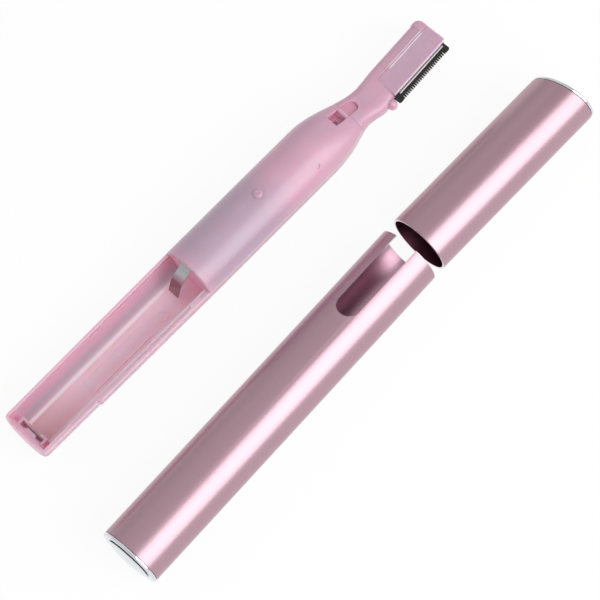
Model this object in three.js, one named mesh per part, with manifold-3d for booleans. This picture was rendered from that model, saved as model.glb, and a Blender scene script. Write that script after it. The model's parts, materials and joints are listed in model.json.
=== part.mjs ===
// Electric eyebrow trimmer: battery trimmer, anodised sleeve and cap, laid out side by side.
// Millimetres, +Z up, +X from the battery end towards the blades. The origin is under the middle.
import * as THREE from 'three';
import { mergeVertices } from 'three/addons/utils/BufferGeometryUtils.js';
import Module from 'manifold-3d';

const wasm = await Module();
wasm.setup();

const { degToRad, lerp, smoothstep } = THREE.MathUtils;

// Fits
const SEAM_GAP = 0.06;
const SEAT_GAP = 0.1;
const RUN_GAP = 0.08;
const SLIP_GAP = 0.15;

// Roundness of the facets
const RING_POINTS = 48;
const MOTOR_POINTS = 24;
const POST_POINTS = 24;
const PIN_POINTS = 16;
const NECK_STEPS = 10;
const CORNER_STEPS = 3;

// Trimmer casing, made round one slim cell
const CELL_RADIUS = 5.25;
const CELL_ROOM = 0.45;
const SHELL_WALL = 1.0;
const PARTING = 1.2;
const SIDE_DRAFT = 0.33;
const NECK_CLEARANCE = 1.0;
const COVER_TAPER = 11;
const NECK_LENGTH = 17;
const NECK_HALF_WIDTH = 3.8;
const NECK_OFFSET = -0.8;
const NECK_SQUARENESS = 3.2;
const FLANK_DIP = 0.5;
const FLANK_SWELL = 0.6;
const FLANK_RUN_IN = 4;
const FLANK_ALONG = 2;
const FLANK_TURN = 1;
const COVER_BEVEL = 0.3;

// Battery end
const TAIL_STEP = 0.26;
const TAIL_LENGTH = 16.25;
const TAIL_CORNER = 0.9;
const NOTCH_LENGTH = 0.6;
const NOTCH_DEPTH = 0.45;
const END_WALL = 1.25;
const BAY_LENGTH = 48;
const BAY_FLOOR = 5.05;
const LIP_WALL = 0.65;
const LEDGE_HEIGHT = 1.4;
const LEDGE_DROP = 0.3;
const LEDGE_START = 8.55;
const TAB_SETBACK = 2;
const TAB_LENGTH = 3;
const MARK_HEIGHT = 0.2;
const MARK_LINE = 0.25;
const RING_MARK_X = 39.75;
const RING_MARK_Y = -0.7;
const RING_MARK_RADIUS = 1.3;
const FRAME_MARK_X = 17.7;
const FRAME_MARK_Y = -0.36;
const FRAME_MARK_LENGTH = 17.5;
const FRAME_MARK_WIDTH = 3.7;

// Battery contacts
const CONTACT_ROOM = 0.75;
const CONTACT_SHEET = 0.3;
const LOWER_CONTACT_WIDTH = 6.0;
const LOWER_CONTACT_HEIGHT = 4.0;
const HOOK_THICKNESS = 0.6;
const HOOK_LIP = 1.2;
const RIB_WIDTH = 2.4;
const RIB_BASE = 4.0;
const BULKHEAD_THICKNESS = 1.0;
const BULKHEAD_SET_BACK = 0.5;
const GROOVE_DEPTH = 0.4;
const LEAF_WIDTH = 2.8;
const LEAF_OFFSET = 0.45;
const LEAF_SLOT_SPARE = 1.65;
const LEAF_TAIL = 0.6;
const LEAF_TOP = 4.4;
const LEAF_REACH = 3.75;
const LEAF_FALL = 3.6;
const TOE_REACH = 1.25;
const TOE_FALL = 4.0;
const TOE_CORNER = 0.5;
const STRIP_WIDTH = 2.0;
const STRIP_SHEET = 0.2;
const STRIP_DEPTH = 6.0;
const STRIP_TAIL = 1.9;

// Small round dot on the cover's right flank
const DOT_SETBACK = 2.5;
const DOT_TURN = degToRad(42);
const DOT_RADIUS = 0.65;
const DOT_DEPTH = 0.3;

// Domed key on the cover
const KEY_SETBACK = 16.1;
const KEY_RADIUS = 1.15;
const KEY_HEIGHT = 0.8;
const KEY_DISH_RADIUS = 0.7;
const KEY_DISH_DEPTH = 0.3;
const KEY_PIP_RADIUS = 0.3;

// Motor
const WIRE_ROOM = 1.1;
const MOTOR_LENGTH = 18;
const MOTOR_WALL = 0.5;
const MOTOR_CAP = 1.8;
const MAGNET_THICKNESS = 0.9;
const MAGNET_LENGTH = 11;
const ARMATURE_RADIUS = 2.9;
const ARMATURE_LENGTH = 13;
const BUSH_RADIUS = 1.6;
const BUSH_LENGTH = 1.5;
const SHAFT_RADIUS = 0.5;
const TERMINAL_SPREAD = 2.4;
const TERMINAL_WIDTH = 1.2;
const TERMINAL_LENGTH = 1.4;
const CRADLE_HEIGHT = 0.6;
const CRADLE_RIB = 1.2;
const CRADLE_INSET = 3;

// Eccentric and lever
const ECCENTRIC_STANDOFF = 2;
const ECCENTRIC_THROW = 1.0;
const ECCENTRIC_RADIUS = 2.0;
const ECCENTRIC_LENGTH = 4.5;
const SHAFT_COVER = 1.0;
const CRANK_RADIUS = 0.45;
const CRANK_LENGTH = 5;
const PRONG_THICKNESS = 0.7;
const PIVOT_SETBACK = 1.6;
const PIVOT_Y = 1.4;
const PIVOT_RADIUS = 0.6;
const PIN_HEAD = 0.3;
const LEVER_HUB_RADIUS = 1.35;
const LEVER_WIDTH = 1.2;
const LEVER_DROP = 0.13;
const LEVER_THICKNESS = 1.0;
const OUTPUT_ALONG = 0.6;
const OUTPUT_Y = -2.3;
const OUTPUT_RADIUS = 0.5;

// Head, measured from a datum on the neck and leaning to the left
const HEAD_STANDOFF = 1.0;
const HEAD_LEAN = degToRad(3.2);
const HEAD_FLARE = 6;
const HEAD_LENGTH = 20.2;
const HEAD_HALF_WIDTH = 4.05;
const HEAD_HALF_THICKNESS = 2.4;
const HEAD_CORNER = 1.8;
const HEAD_CORNER_SMALL = 0.6;
const HEAD_WALL = 1.0;
const TIP_BLOCK = 2.0;
const TIP_SQUARENESS = 4.5;
const TIP_RISE = 0.08;
const BOSS_ALONG = 1.7;
const BOSS_RADIUS = 1.15;
const BOSS_HALF_HEIGHT = 1.5;
const BOSS_Z = 0.3;

// Blades, stacked under the cover plate
const PLATE_START = 3.3;
const PLATE_WIDTH = 5.1;
const PLATE_THICKNESS = 0.75;
const PLATE_DROP = 0.15;
const PLATE_JOG = 0.15;
const PLATE_JOG_LENGTH = 3.6;
const POCKET_END_WALL = 0.45;
const GUIDE_RIB = 0.35;
const RIB_RISE = 0.12;
const PLATE_LIP = 0.25;
const LIP_INSET = 0.03;
const RETAINER_THICKNESS = 0.17;
const RETAINER_WIDTH = 0.9;
const RETAINER_PROUD = 0.5;
const RETAINER_BACK = 1.2;
const RETAINER_FRONT = 0.8;
const BLADE_THICKNESS = 0.4;
const BLADE_GAP = 0.1;
const BLADE_BACK = 2.4;
const TOOTH_ROOT = 1.15;
const TOOTH_LENGTH = 0.7;
const TOOTH_PITCH = 0.57;
const TOOTH_TIP = 0.2;
const TOOTH_BASE = 0.34;
const LUG_LENGTH = 1.25;
const LUG_RADIUS = 0.45;
const CUTTER_SETBACK = 0.2;
const CARRIER_THICKNESS = 0.6;
const CARRIER_INSET = 0.55;
const CARRIER_WIDTH = 3.4;
const CARRIER_WEB = 0.5;
const PEG_RADIUS = 0.4;
const PEG_INSET = 3;
const SPRING_SHEET = 0.14;
const SPRING_LENGTH = 10;
const SPRING_WIDTH = 1.2;
const SPRING_STEPS = 8;

// Switch, in a slot that follows the slope of the neck
const SWITCH_SETBACK = 0.4;
const SWITCH_Y = 0.3;
const SLOT_LENGTH = 7.9;
const SLOT_WIDTH = 2.95;
const SLIDER_SINK = 0.4;
const SLIDER_FLANGE = 0.5;
const SLIDER_FLANGE_SIDE = 0.35;
const RIDGE_WIDTH = 1.1;
const TRAY_FLOOR = 0.5;
const TRAY_WALL = 0.5;
const TRAY_HOLE_RADIUS = 0.65;
const TRAY_HOLE_ALONG = -2.4;
const SWITCH_SHEET = 0.25;
const SWITCH_LEAF_SETBACK = 7.8;
const SWITCH_LEAF_Z = 0.6;
const SWITCH_LEAF_LENGTH = 5;
const SWITCH_LEAF_RISE = 0.9;
const SWITCH_LEAF_WIDTH = 1.8;
const SWITCH_PILLAR = 1.6;

// Sleeve and cap
const TUBE_WALL = 0.5;
const SLEEVE_MARGIN = 0.25;
const KEY_RUN = 4.65;
const THUMB_SLOT_WIDTH = 5.6;
const CAP_ROOM = 6.55;
const CAP_SLANT = degToRad(12.7);
const PLUG_BEZEL = 0.85;
const PLUG_CROWN = 0.8;
const PLUG_CROWN_STEPS = 4;
const PLUG_RIM = 0.55;
const PLUG_DEPTH = 5;
const PLUG_WALL = 0.9;

// Layout on the table
const TRIMMER_ROLL = degToRad(-4);
const SLEEVE_START = -2.55;
const TABLE_GAP = 19.86;
const CAP_GAP = 3.2;
const SLEEVE_TURN = degToRad(1.89);
const CAP_TURN = degToRad(-1.73);
const SLEEVE_ROLL = degToRad(-9);
const CAP_ROLL = degToRad(-10);

// How far cutting shapes reach past what they cut
const OVERCUT = 1;
const FAR = 40;
const WELD = 1e-5;

// Places along the trimmer, from the battery end to the blades
const INNER_RADIUS = CELL_RADIUS + CELL_ROOM;
const BODY_RADIUS = INNER_RADIUS + SHELL_WALL;
const CONTACT_X = END_WALL + CONTACT_ROOM;
const BAY_END = END_WALL + BAY_LENGTH;
const BULKHEAD_X = BAY_END + BULKHEAD_SET_BACK;
const BULKHEAD_END = BULKHEAD_X + BULKHEAD_THICKNESS;
const TERMINAL_END = BULKHEAD_END + WIRE_ROOM + TERMINAL_LENGTH;
const MOTOR_X = TERMINAL_END + MOTOR_CAP + 2 * SEAT_GAP;
const MOTOR_END = MOTOR_X + MOTOR_LENGTH;
const ECCENTRIC_X = MOTOR_END + BUSH_LENGTH + ECCENTRIC_STANDOFF;
const CRANK_X = ECCENTRIC_X + ECCENTRIC_LENGTH;
const CRANK_END = CRANK_X + CRANK_LENGTH;
const STRAIGHT_LENGTH = CRANK_END + NECK_CLEARANCE;
const KEY_X = STRAIGHT_LENGTH - KEY_SETBACK;
const DOT_X = STRAIGHT_LENGTH - DOT_SETBACK;
const SEAM_X = STRAIGHT_LENGTH + COVER_TAPER;
const PIVOT_X = SEAM_X - PIVOT_SETBACK;
const SWITCH_X = SEAM_X - SWITCH_SETBACK;
const SWITCH_LEAF_X = SWITCH_X - SWITCH_LEAF_SETBACK;
const NECK_X = STRAIGHT_LENGTH + NECK_LENGTH;
const HEAD_X = NECK_X + HEAD_STANDOFF;
const OUTPUT_X = HEAD_X + OUTPUT_ALONG;
const TIP_X = HEAD_X + HEAD_LENGTH * Math.cos(HEAD_LEAN);

// Motor and tubes
const MOTOR_RADIUS = INNER_RADIUS - CRADLE_HEIGHT - SEAT_GAP;
const TUBE_BORE = BODY_RADIUS + SLIP_GAP;
const TUBE_RADIUS = TUBE_BORE + TUBE_WALL;
const SLEEVE_LENGTH = STRAIGHT_LENGTH + SLEEVE_MARGIN;
const THUMB_SLOT_LENGTH = SLEEVE_LENGTH - KEY_X + KEY_RUN;
const CAP_LENGTH = TIP_X + PLUG_WALL - SLEEVE_LENGTH + CAP_ROOM;
const LEDGE_WIDTH = 2 * CELL_ROOM - SEAT_GAP / 2;

// Heights of the blade stack, and the edges of its plate in the head
const PLATE_TOP = HEAD_HALF_THICKNESS - PLATE_DROP;
const PLATE_BASE = PLATE_TOP - PLATE_THICKNESS;
const RETAINER_Z = PLATE_BASE - SEAT_GAP - RETAINER_THICKNESS;
const COMB_Z = RETAINER_Z - SEAT_GAP - BLADE_THICKNESS;
const CUTTER_Z = COMB_Z - BLADE_GAP - BLADE_THICKNESS;
const CARRIER_TOP = CUTTER_Z - SEAT_GAP;
const CARRIER_Z = CARRIER_TOP - CARRIER_THICKNESS;
const POCKET_FLOOR = CUTTER_Z - SPRING_SHEET - 3 * SEAT_GAP;
const LEVER_TOP = CARRIER_Z - LEVER_DROP;
const LEVER_BASE = LEVER_TOP - LEVER_THICKNESS;
const PLATE_RIGHT = -HEAD_HALF_WIDTH;
const PLATE_LEFT = PLATE_RIGHT + PLATE_WIDTH;
const PLATE_JOG_END = PLATE_START + PLATE_JOG_LENGTH;
const POCKET_END = HEAD_LENGTH - POCKET_END_WALL;
const TIP_BLOCK_START = HEAD_LENGTH - TIP_BLOCK;
const BLADE_EDGE = PLATE_RIGHT - TOOTH_ROOT;
const BLADE_MIDDLE = PLATE_RIGHT + BLADE_BACK / 2;
const COMB_START = PLATE_START + SEAT_GAP;
const COMB_END = POCKET_END - SEAT_GAP;
const LUG_START = BOSS_ALONG + BOSS_RADIUS;
const TOOTH_COUNT = Math.floor((COMB_END - LUG_START - 2 * LUG_LENGTH) / TOOTH_PITCH);
const FIRST_TOOTH = (LUG_START + COMB_END - (TOOTH_COUNT - 1) * TOOTH_PITCH) / 2;
const PEG_PLACES = [PLATE_START + PEG_INSET, POCKET_END - PEG_INSET];

// Travel of the lever and the cutter
const FORK_REACH = PIVOT_X - CRANK_END;
const LEVER_ANGLE = ECCENTRIC_THROW / (FORK_REACH + CRANK_LENGTH / 2);
const FORK_SWING = LEVER_ANGLE * (FORK_REACH + CRANK_LENGTH);
const FORK_HALF_GAP = ECCENTRIC_THROW + FORK_SWING + CRANK_RADIUS + RUN_GAP;
const FORK_HALF_WIDTH = FORK_HALF_GAP + PRONG_THICKNESS;
const FORK_START = CRANK_X + LEVER_ANGLE * (PIVOT_Y + FORK_HALF_WIDTH) + RUN_GAP;
const OUTPUT_SWING = LEVER_ANGLE * (OUTPUT_X - PIVOT_X);
const OUTPUT_ARM = (PIVOT_Y - OUTPUT_Y) * Math.cos(HEAD_LEAN) + (OUTPUT_X - PIVOT_X) * Math.sin(HEAD_LEAN);
const CUTTER_STROKE = LEVER_ANGLE * OUTPUT_ARM;
const CUTTER_ROOM = CUTTER_STROKE + RUN_GAP;
const CARRIER_PEG = COMB_START + CUTTER_ROOM + 2 * PEG_RADIUS;

// Head frame, and the lever's output pin seen in it
const HEAD_MATRIX = new THREE.Matrix4().makeRotationZ(HEAD_LEAN).setPosition(HEAD_X, centreLine(HEAD_X), 0);
const OUTPUT = new THREE.Vector3(OUTPUT_X, OUTPUT_Y, 0).applyMatrix4(HEAD_MATRIX.clone().invert());
const CARRIER_START = OUTPUT.x - OUTPUT_RADIUS - RUN_GAP - CARRIER_WEB;
const CARRIER_END = CARRIER_PEG + PEG_RADIUS + CARRIER_WEB;
const CARRIER_RIGHT = PLATE_RIGHT + CARRIER_INSET;

// Switch frame: it sits on the neck surface and tips forward with it
const SWITCH_FALL = bodyHeight(SWITCH_X - SLOT_LENGTH / 2) - bodyHeight(SWITCH_X + SLOT_LENGTH / 2);
const SWITCH_MATRIX = new THREE.Matrix4()
  .makeRotationY(Math.atan2(SWITCH_FALL, SLOT_LENGTH))
  .setPosition(SWITCH_X, SWITCH_Y, bodyHeight(SWITCH_X));
const SLIDER_UNDER = -SHELL_WALL - RUN_GAP - SLIDER_FLANGE_SIDE;
const TRAY_TOP = SLIDER_UNDER - SLIDER_FLANGE - RUN_GAP;
const SLIDER_HALF_WIDTH = SLOT_WIDTH / 2 - RUN_GAP;
const FLANGE_HALF_WIDTH = SLIDER_HALF_WIDTH + SLIDER_FLANGE_SIDE;

// Shear that slants the cap's closed end, long side towards -Y
const CAP_SHEAR = new THREE.Matrix4().makeShear(0, 0, -Math.tan(CAP_SLANT), 0, 0, 0);

// Materials
const PINK_PLASTIC = finish(0xd2a8be, 0.35, 0);
const WHITE_NYLON = finish(0xe8e4dc, 0.5, 0);
const ROSE_ALUMINIUM = finish(0xc79aae, 0.35, 0.9);
const CHROME = finish(0xd4d4da, 0.12, 1);
const SPRING_STEEL = finish(0xa2a6a8, 0.35, 1);
const BLACK_STEEL = finish(0x463f3f, 0.45, 0.8);
const MOTOR_STEEL = finish(0x9a9ca2, 0.4, 0.9);
const COPPER = finish(0xb4713f, 0.4, 0.9);
const FERRITE = finish(0x3a3a3d, 0.7, 0.2);
const BRASS = finish(0xb99a55, 0.35, 1);

function finish(color, roughness, metalness) {
  return new THREE.MeshStandardMaterial({ color, roughness, metalness });
}

// Solids

function solid(geometry) {
  const bare = geometry.clone();
  bare.deleteAttribute('normal');
  bare.deleteAttribute('uv');
  const merged = mergeVertices(bare, WELD);
  return new wasm.Manifold(new wasm.Mesh({
    numProp: 3,
    vertProperties: new Float32Array(merged.attributes.position.array),
    triVerts: new Uint32Array(merged.index.array),
  }));
}

function join(first, ...rest) {
  return rest.reduce((sum, item) => sum.add(item), first);
}

function cut(first, ...rest) {
  return rest.reduce((left, item) => left.subtract(item), first);
}

function geometryOf(body) {
  const mesh = body.getMesh();
  const geometry = new THREE.BufferGeometry();
  geometry.setAttribute('position', new THREE.BufferAttribute(mesh.vertProperties, 3));
  geometry.setIndex(new THREE.BufferAttribute(mesh.triVerts, 1));
  geometry.computeVertexNormals();
  return geometry;
}

function block(x0, x1, y0, y1, z0, z1) {
  const geometry = new THREE.BoxGeometry(x1 - x0, y1 - y0, z1 - z0);
  return geometry.translate((x0 + x1) / 2, (y0 + y1) / 2, (z0 + z1) / 2);
}

// Round bar along X
function bar(radius, x0, x1, points = RING_POINTS) {
  return new THREE.CylinderGeometry(radius, radius, x1 - x0, points)
    .rotateZ(-Math.PI / 2)
    .translate((x0 + x1) / 2, 0, 0);
}

// Round post along Z
function post(radius, x, y, z0, z1, points = POST_POINTS) {
  return new THREE.CylinderGeometry(radius, radius, z1 - z0, points)
    .rotateX(Math.PI / 2)
    .translate(x, y, (z0 + z1) / 2);
}

// Profile of [x, radius] points turned about the X axis
function turned(profile, points = RING_POINTS) {
  const outline = profile.map(([x, radius]) => new THREE.Vector2(radius, x));
  return new THREE.LatheGeometry(outline, points).rotateZ(-Math.PI / 2);
}

// Closed ring of material between two radii
function ring(x0, x1, inner, outer, points = RING_POINTS) {
  return turned([[x0, inner], [x0, outer], [x1, outer], [x1, inner], [x0, inner]], points);
}

function extruded(shape, z0, z1, curveSegments = 8) {
  return new THREE.ExtrudeGeometry(shape, { depth: z1 - z0, bevelEnabled: false, curveSegments })
    .translate(0, 0, z0);
}

// Plan outline of [x, y] points raised from z0 to z1
function raised(outline, z0, z1) {
  return extruded(new THREE.Shape(outline.map(([x, y]) => new THREE.Vector2(x, y))), z0, z1);
}

// Side-view outline of [x, z] points, given a width across Y
function sideways(outline, y0, y1) {
  return raised(outline, -y1, -y0).rotateX(Math.PI / 2);
}

// End-view shape drawn in y and z, given a length along X
function endways(shape, x0, x1) {
  return extruded(shape, x0, x1).rotateX(Math.PI / 2).rotateZ(Math.PI / 2);
}

// Centre line of [x, z] points thickened into a bent sheet with mitred bends
function bentSheet(line, thickness, y0, y1) {
  const points = line.map(([x, z]) => new THREE.Vector2(x, z));
  const last = points.length - 1;
  const normalAfter = (i) => {
    const along = points[i + 1].clone().sub(points[i]).normalize();
    return new THREE.Vector2(-along.y, along.x);
  };
  const sideAt = (i, distance) => {
    const before = normalAfter(Math.max(i - 1, 0));
    const after = normalAfter(Math.min(i, last - 1));
    const mitre = before.clone().add(after).normalize();
    return points[i].clone().addScaledVector(mitre, distance / mitre.dot(after)).toArray();
  };
  const upper = points.map((_, i) => sideAt(i, thickness / 2));
  const lower = points.map((_, i) => sideAt(i, -thickness / 2));
  return sideways([...upper, ...lower.reverse()], y0, y1);
}

// Skin stretched over a row of rings, closed at both ends
function lofted(rings) {
  const count = rings[0].length;
  const triangles = [];
  for (let row = 0; row + 1 < rings.length; row += 1) {
    for (let i = 0; i < count; i += 1) {
      const a = row * count + i;
      const b = row * count + ((i + 1) % count);
      triangles.push(a, b, a + count, b, b + count, a + count);
    }
  }
  const closeEnd = (start, flip) => {
    for (let i = 1; i + 1 < count; i += 1) {
      triangles.push(start, ...(flip ? [start + i + 1, start + i] : [start + i, start + i + 1]));
    }
  };
  closeEnd(0, true);
  closeEnd((rings.length - 1) * count, false);
  const geometry = new THREE.BufferGeometry();
  geometry.setAttribute('position', new THREE.Float32BufferAttribute(rings.flat(2), 3));
  geometry.setIndex(triangles);
  return geometry;
}

// Trimmer surface

function neckBlend(x) {
  return smoothstep(x, STRAIGHT_LENGTH, NECK_X);
}

function bodyHeight(x) {
  return lerp(BODY_RADIUS, HEAD_HALF_THICKNESS, neckBlend(x));
}

function centreLine(x) {
  const lean = Math.max(0, x - NECK_X) * Math.tan(HEAD_LEAN);
  return NECK_OFFSET * neckBlend(x) + lean;
}

// Rise from 0 to 1 and back again
function hump(x, start, top, end) {
  return smoothstep(x, start, top) - smoothstep(x, top, end);
}

// How far the right flank stands out: in at the tail and along the neck, then out towards the boss
function flankSwell(x) {
  const tail = 1 - smoothstep(x, TAIL_LENGTH, TAIL_LENGTH + TAIL_STEP);
  const dip = hump(x, SEAM_X - FLANK_RUN_IN, SEAM_X + FLANK_ALONG, NECK_X - FLANK_TURN);
  const swell = hump(x, NECK_X - 2 * FLANK_TURN, HEAD_X, HEAD_X + PLATE_START);
  return FLANK_SWELL * swell - FLANK_DIP * dip - TAIL_STEP * tail;
}

function bodyCentre(x) {
  return centreLine(x) - flankSwell(x) / 2;
}

// Half the width: a little slimmer towards the tail, narrow at the neck, wider again at the head
function bodyHalfWidth(x) {
  const draft = SIDE_DRAFT * Math.max(0, 1 - x / BAY_END);
  const flare = smoothstep(x, NECK_X, NECK_X + HEAD_FLARE);
  const neck = lerp(BODY_RADIUS, NECK_HALF_WIDTH, neckBlend(x)) - draft;
  return neck + (HEAD_HALF_WIDTH - NECK_HALF_WIDTH) * flare + flankSwell(x) / 2;
}

// One closed section: round on the body, squarer towards the head
function section(x, inset, squareness = NECK_SQUARENESS) {
  const halfWidth = bodyHalfWidth(x) - inset;
  const halfHeight = bodyHeight(x) - inset;
  const exponent = 2 / lerp(2, squareness, neckBlend(x));
  const bulge = (value) => Math.sign(value) * Math.abs(value) ** exponent;
  return Array.from({ length: RING_POINTS }, (_, i) => {
    const angle = (2 * Math.PI * i) / RING_POINTS;
    return [x, bodyCentre(x) + halfWidth * bulge(Math.cos(angle)), halfHeight * bulge(Math.sin(angle))];
  });
}

// Places where the loft needs a section: close together on the neck and where the head flares
function stations(x0, x1) {
  const steps = Array.from({ length: NECK_STEPS + 1 }, (_, i) => i / NECK_STEPS);
  const neck = steps.map((share) => lerp(STRAIGHT_LENGTH, NECK_X, share));
  const flare = steps.filter((_, i) => i % 2 === 0).map((share) => NECK_X + HEAD_FLARE * share);
  const inner = [...neck, ...flare.slice(1)].filter((x) => x > x0 && x < x1);
  return [x0, ...inner, x1];
}

function bodyLoft(x0, x1, inset) {
  return solid(lofted(stations(x0, x1).map((x) => section(x, inset))));
}

function inHead(geometry) {
  return geometry.applyMatrix4(HEAD_MATRIX);
}

// Sides of the casing's parting plane
function upperHalf(x0, x1) {
  return solid(block(x0, x1, -FAR, FAR, PARTING + SEAM_GAP / 2, FAR));
}

function lowerHalf(x0, x1) {
  return solid(block(x0, x1, -FAR, FAR, -FAR, PARTING - SEAM_GAP / 2));
}

// Switch slot and the channel under it

function onSlope(geometry) {
  return geometry.applyMatrix4(SWITCH_MATRIX);
}

// Slot outline, square towards the battery and round towards the head
function slotShape(length, width) {
  const radius = width / 2;
  const shape = new THREE.Shape();
  shape.moveTo(-length / 2, -radius);
  shape.lineTo(length / 2 - radius, -radius);
  shape.absarc(length / 2 - radius, 0, radius, -Math.PI / 2, Math.PI / 2, false);
  shape.lineTo(-length / 2, radius);
  return shape;
}

function slotTool() {
  return solid(onSlope(extruded(slotShape(SLOT_LENGTH, SLOT_WIDTH), TRAY_TOP, 3 * SHELL_WALL)));
}

// Room for the slider's flange under the slot
function flangeChannel() {
  const half = FLANGE_HALF_WIDTH + RUN_GAP;
  const end = SLOT_LENGTH / 2;
  return solid(onSlope(block(-end, end, -half, half, TRAY_TOP, SLIDER_UNDER + RUN_GAP)));
}

// Box under the slot that carries the flange, with a round dimple in its floor
function switchTray() {
  const side = FLANGE_HALF_WIDTH + RUN_GAP + TRAY_WALL;
  const base = TRAY_TOP - TRAY_FLOOR;
  const outside = block(-SLOT_LENGTH / 2 - TRAY_WALL, 0, -side, side, base, -SHELL_WALL / 2);
  const hole = post(TRAY_HOLE_RADIUS, TRAY_HOLE_ALONG, 0, base + TRAY_FLOOR / 3, TRAY_TOP + OVERCUT);
  return cut(solid(onSlope(outside)), solid(onSlope(hole)));
}

// Casing

function bulkheadGroove() {
  return solid(bar(INNER_RADIUS + GROOVE_DEPTH, BULKHEAD_X - SEAT_GAP, BULKHEAD_END + SEAT_GAP));
}

function motorRoom(start) {
  return bodyLoft(start, SEAM_X + SEAM_GAP, SHELL_WALL);
}

// Ribs that hold the motor, near each end of its can
function cradle(half) {
  const places = [MOTOR_X + CRADLE_INSET, MOTOR_END - CRADLE_INSET - CRADLE_RIB];
  const outer = INNER_RADIUS + SHELL_WALL / 2;
  const ribs = places.map((x) => solid(ring(x, x + CRADLE_RIB, MOTOR_RADIUS + SEAT_GAP, outer)));
  return join(...ribs).intersect(half);
}

// Hook that wraps round one end of the lower contact, side is +1 on the left
function contactHook(side) {
  const inner = side * (LOWER_CONTACT_WIDTH / 2 + SEAT_GAP);
  const outer = inner + side * HOOK_THICKNESS;
  const lip = inner - side * HOOK_LIP;
  const lipStart = CONTACT_X + CONTACT_SHEET + SEAT_GAP;
  const lipEnd = lipStart + HOOK_THICKNESS;
  const base = END_WALL / 2;
  return solid(raised(
    [[base, inner], [base, outer], [lipEnd, outer], [lipEnd, lip], [lipStart, lip], [lipStart, inner]],
    -BAY_FLOOR - SHELL_WALL / 2,
    -SEAM_GAP,
  ));
}

// Wedge behind the lower contact that pushes it towards the cell
function contactRib() {
  const front = CONTACT_X - SEAT_GAP;
  const base = END_WALL / 2;
  return solid(raised(
    [[base, -RIB_BASE / 2], [front, -RIB_WIDTH / 2], [front, RIB_WIDTH / 2], [base, RIB_BASE / 2]],
    -BAY_FLOOR - SHELL_WALL / 2,
    -SEAM_GAP,
  ));
}

// Ledge along the right rim: flush at the tail, then lower, with a flush tab near the cover
function rimLedge() {
  const outer = -BODY_RADIUS;
  const inner = -INNER_RADIUS + LEDGE_WIDTH;
  const top = PARTING - LEDGE_DROP;
  const base = top - LEDGE_HEIGHT;
  const flush = PARTING - SEAM_GAP / 2;
  const tabEnd = BAY_END - TAB_SETBACK;
  return join(
    solid(block(END_WALL / 2, LEDGE_START, outer, inner - MARK_HEIGHT, base, flush)),
    solid(block(LEDGE_START - OVERCUT, BAY_END, outer, inner, base, top)),
    solid(block(tabEnd - TAB_LENGTH, tabEnd, outer, inner - MARK_HEIGHT, base, flush)),
  );
}

// Raised ring and plain raised frame on the bay floor
function floorMarks() {
  const top = -BAY_FLOOR + MARK_HEIGHT;
  const bottom = -BAY_FLOOR - MARK_HEIGHT;
  const disc = (radius, z0, z1) => solid(post(radius, RING_MARK_X, RING_MARK_Y, z0, z1));
  const ringMark = cut(
    disc(RING_MARK_RADIUS, bottom, top),
    disc(RING_MARK_RADIUS - MARK_LINE, bottom - OVERCUT, top + OVERCUT),
  );
  const plate = (inset, z0, z1) => solid(block(
    FRAME_MARK_X + inset, FRAME_MARK_X + FRAME_MARK_LENGTH - inset,
    FRAME_MARK_Y - FRAME_MARK_WIDTH / 2 + inset, FRAME_MARK_Y + FRAME_MARK_WIDTH / 2 - inset, z0, z1,
  ));
  const frameMark = cut(plate(0, bottom, top), plate(MARK_LINE, bottom - OVERCUT, top + OVERCUT));
  return join(ringMark, frameMark);
}

// Battery end of the lower shell: rounded end corner, then a small step out on the right
function tailSections(inset) {
  const radius = TAIL_CORNER - inset;
  const corner = Array.from({ length: CORNER_STEPS + 1 }, (_, i) => {
    const angle = (Math.PI / 2) * (i / CORNER_STEPS);
    return section(inset + radius * (1 - Math.cos(angle)), inset + radius * (1 - Math.sin(angle)));
  });
  return [...corner, section(TAIL_LENGTH, inset), section(TAIL_LENGTH + TAIL_STEP, inset)];
}

// Open room for the cell: a trough with a flat floor, wider inside the thin lip round the rim
function batteryBay() {
  const trough = solid(bar(INNER_RADIUS, END_WALL, BULKHEAD_X))
    .intersect(solid(block(0, SEAM_X, -FAR, FAR, -BAY_FLOOR, FAR)));
  const lipRoom = solid(lofted([...tailSections(LIP_WALL), section(BULKHEAD_X, LIP_WALL)]))
    .intersect(solid(block(0, SEAM_X, -FAR, FAR, 0, FAR)));
  return join(trough, lipRoom);
}

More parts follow.
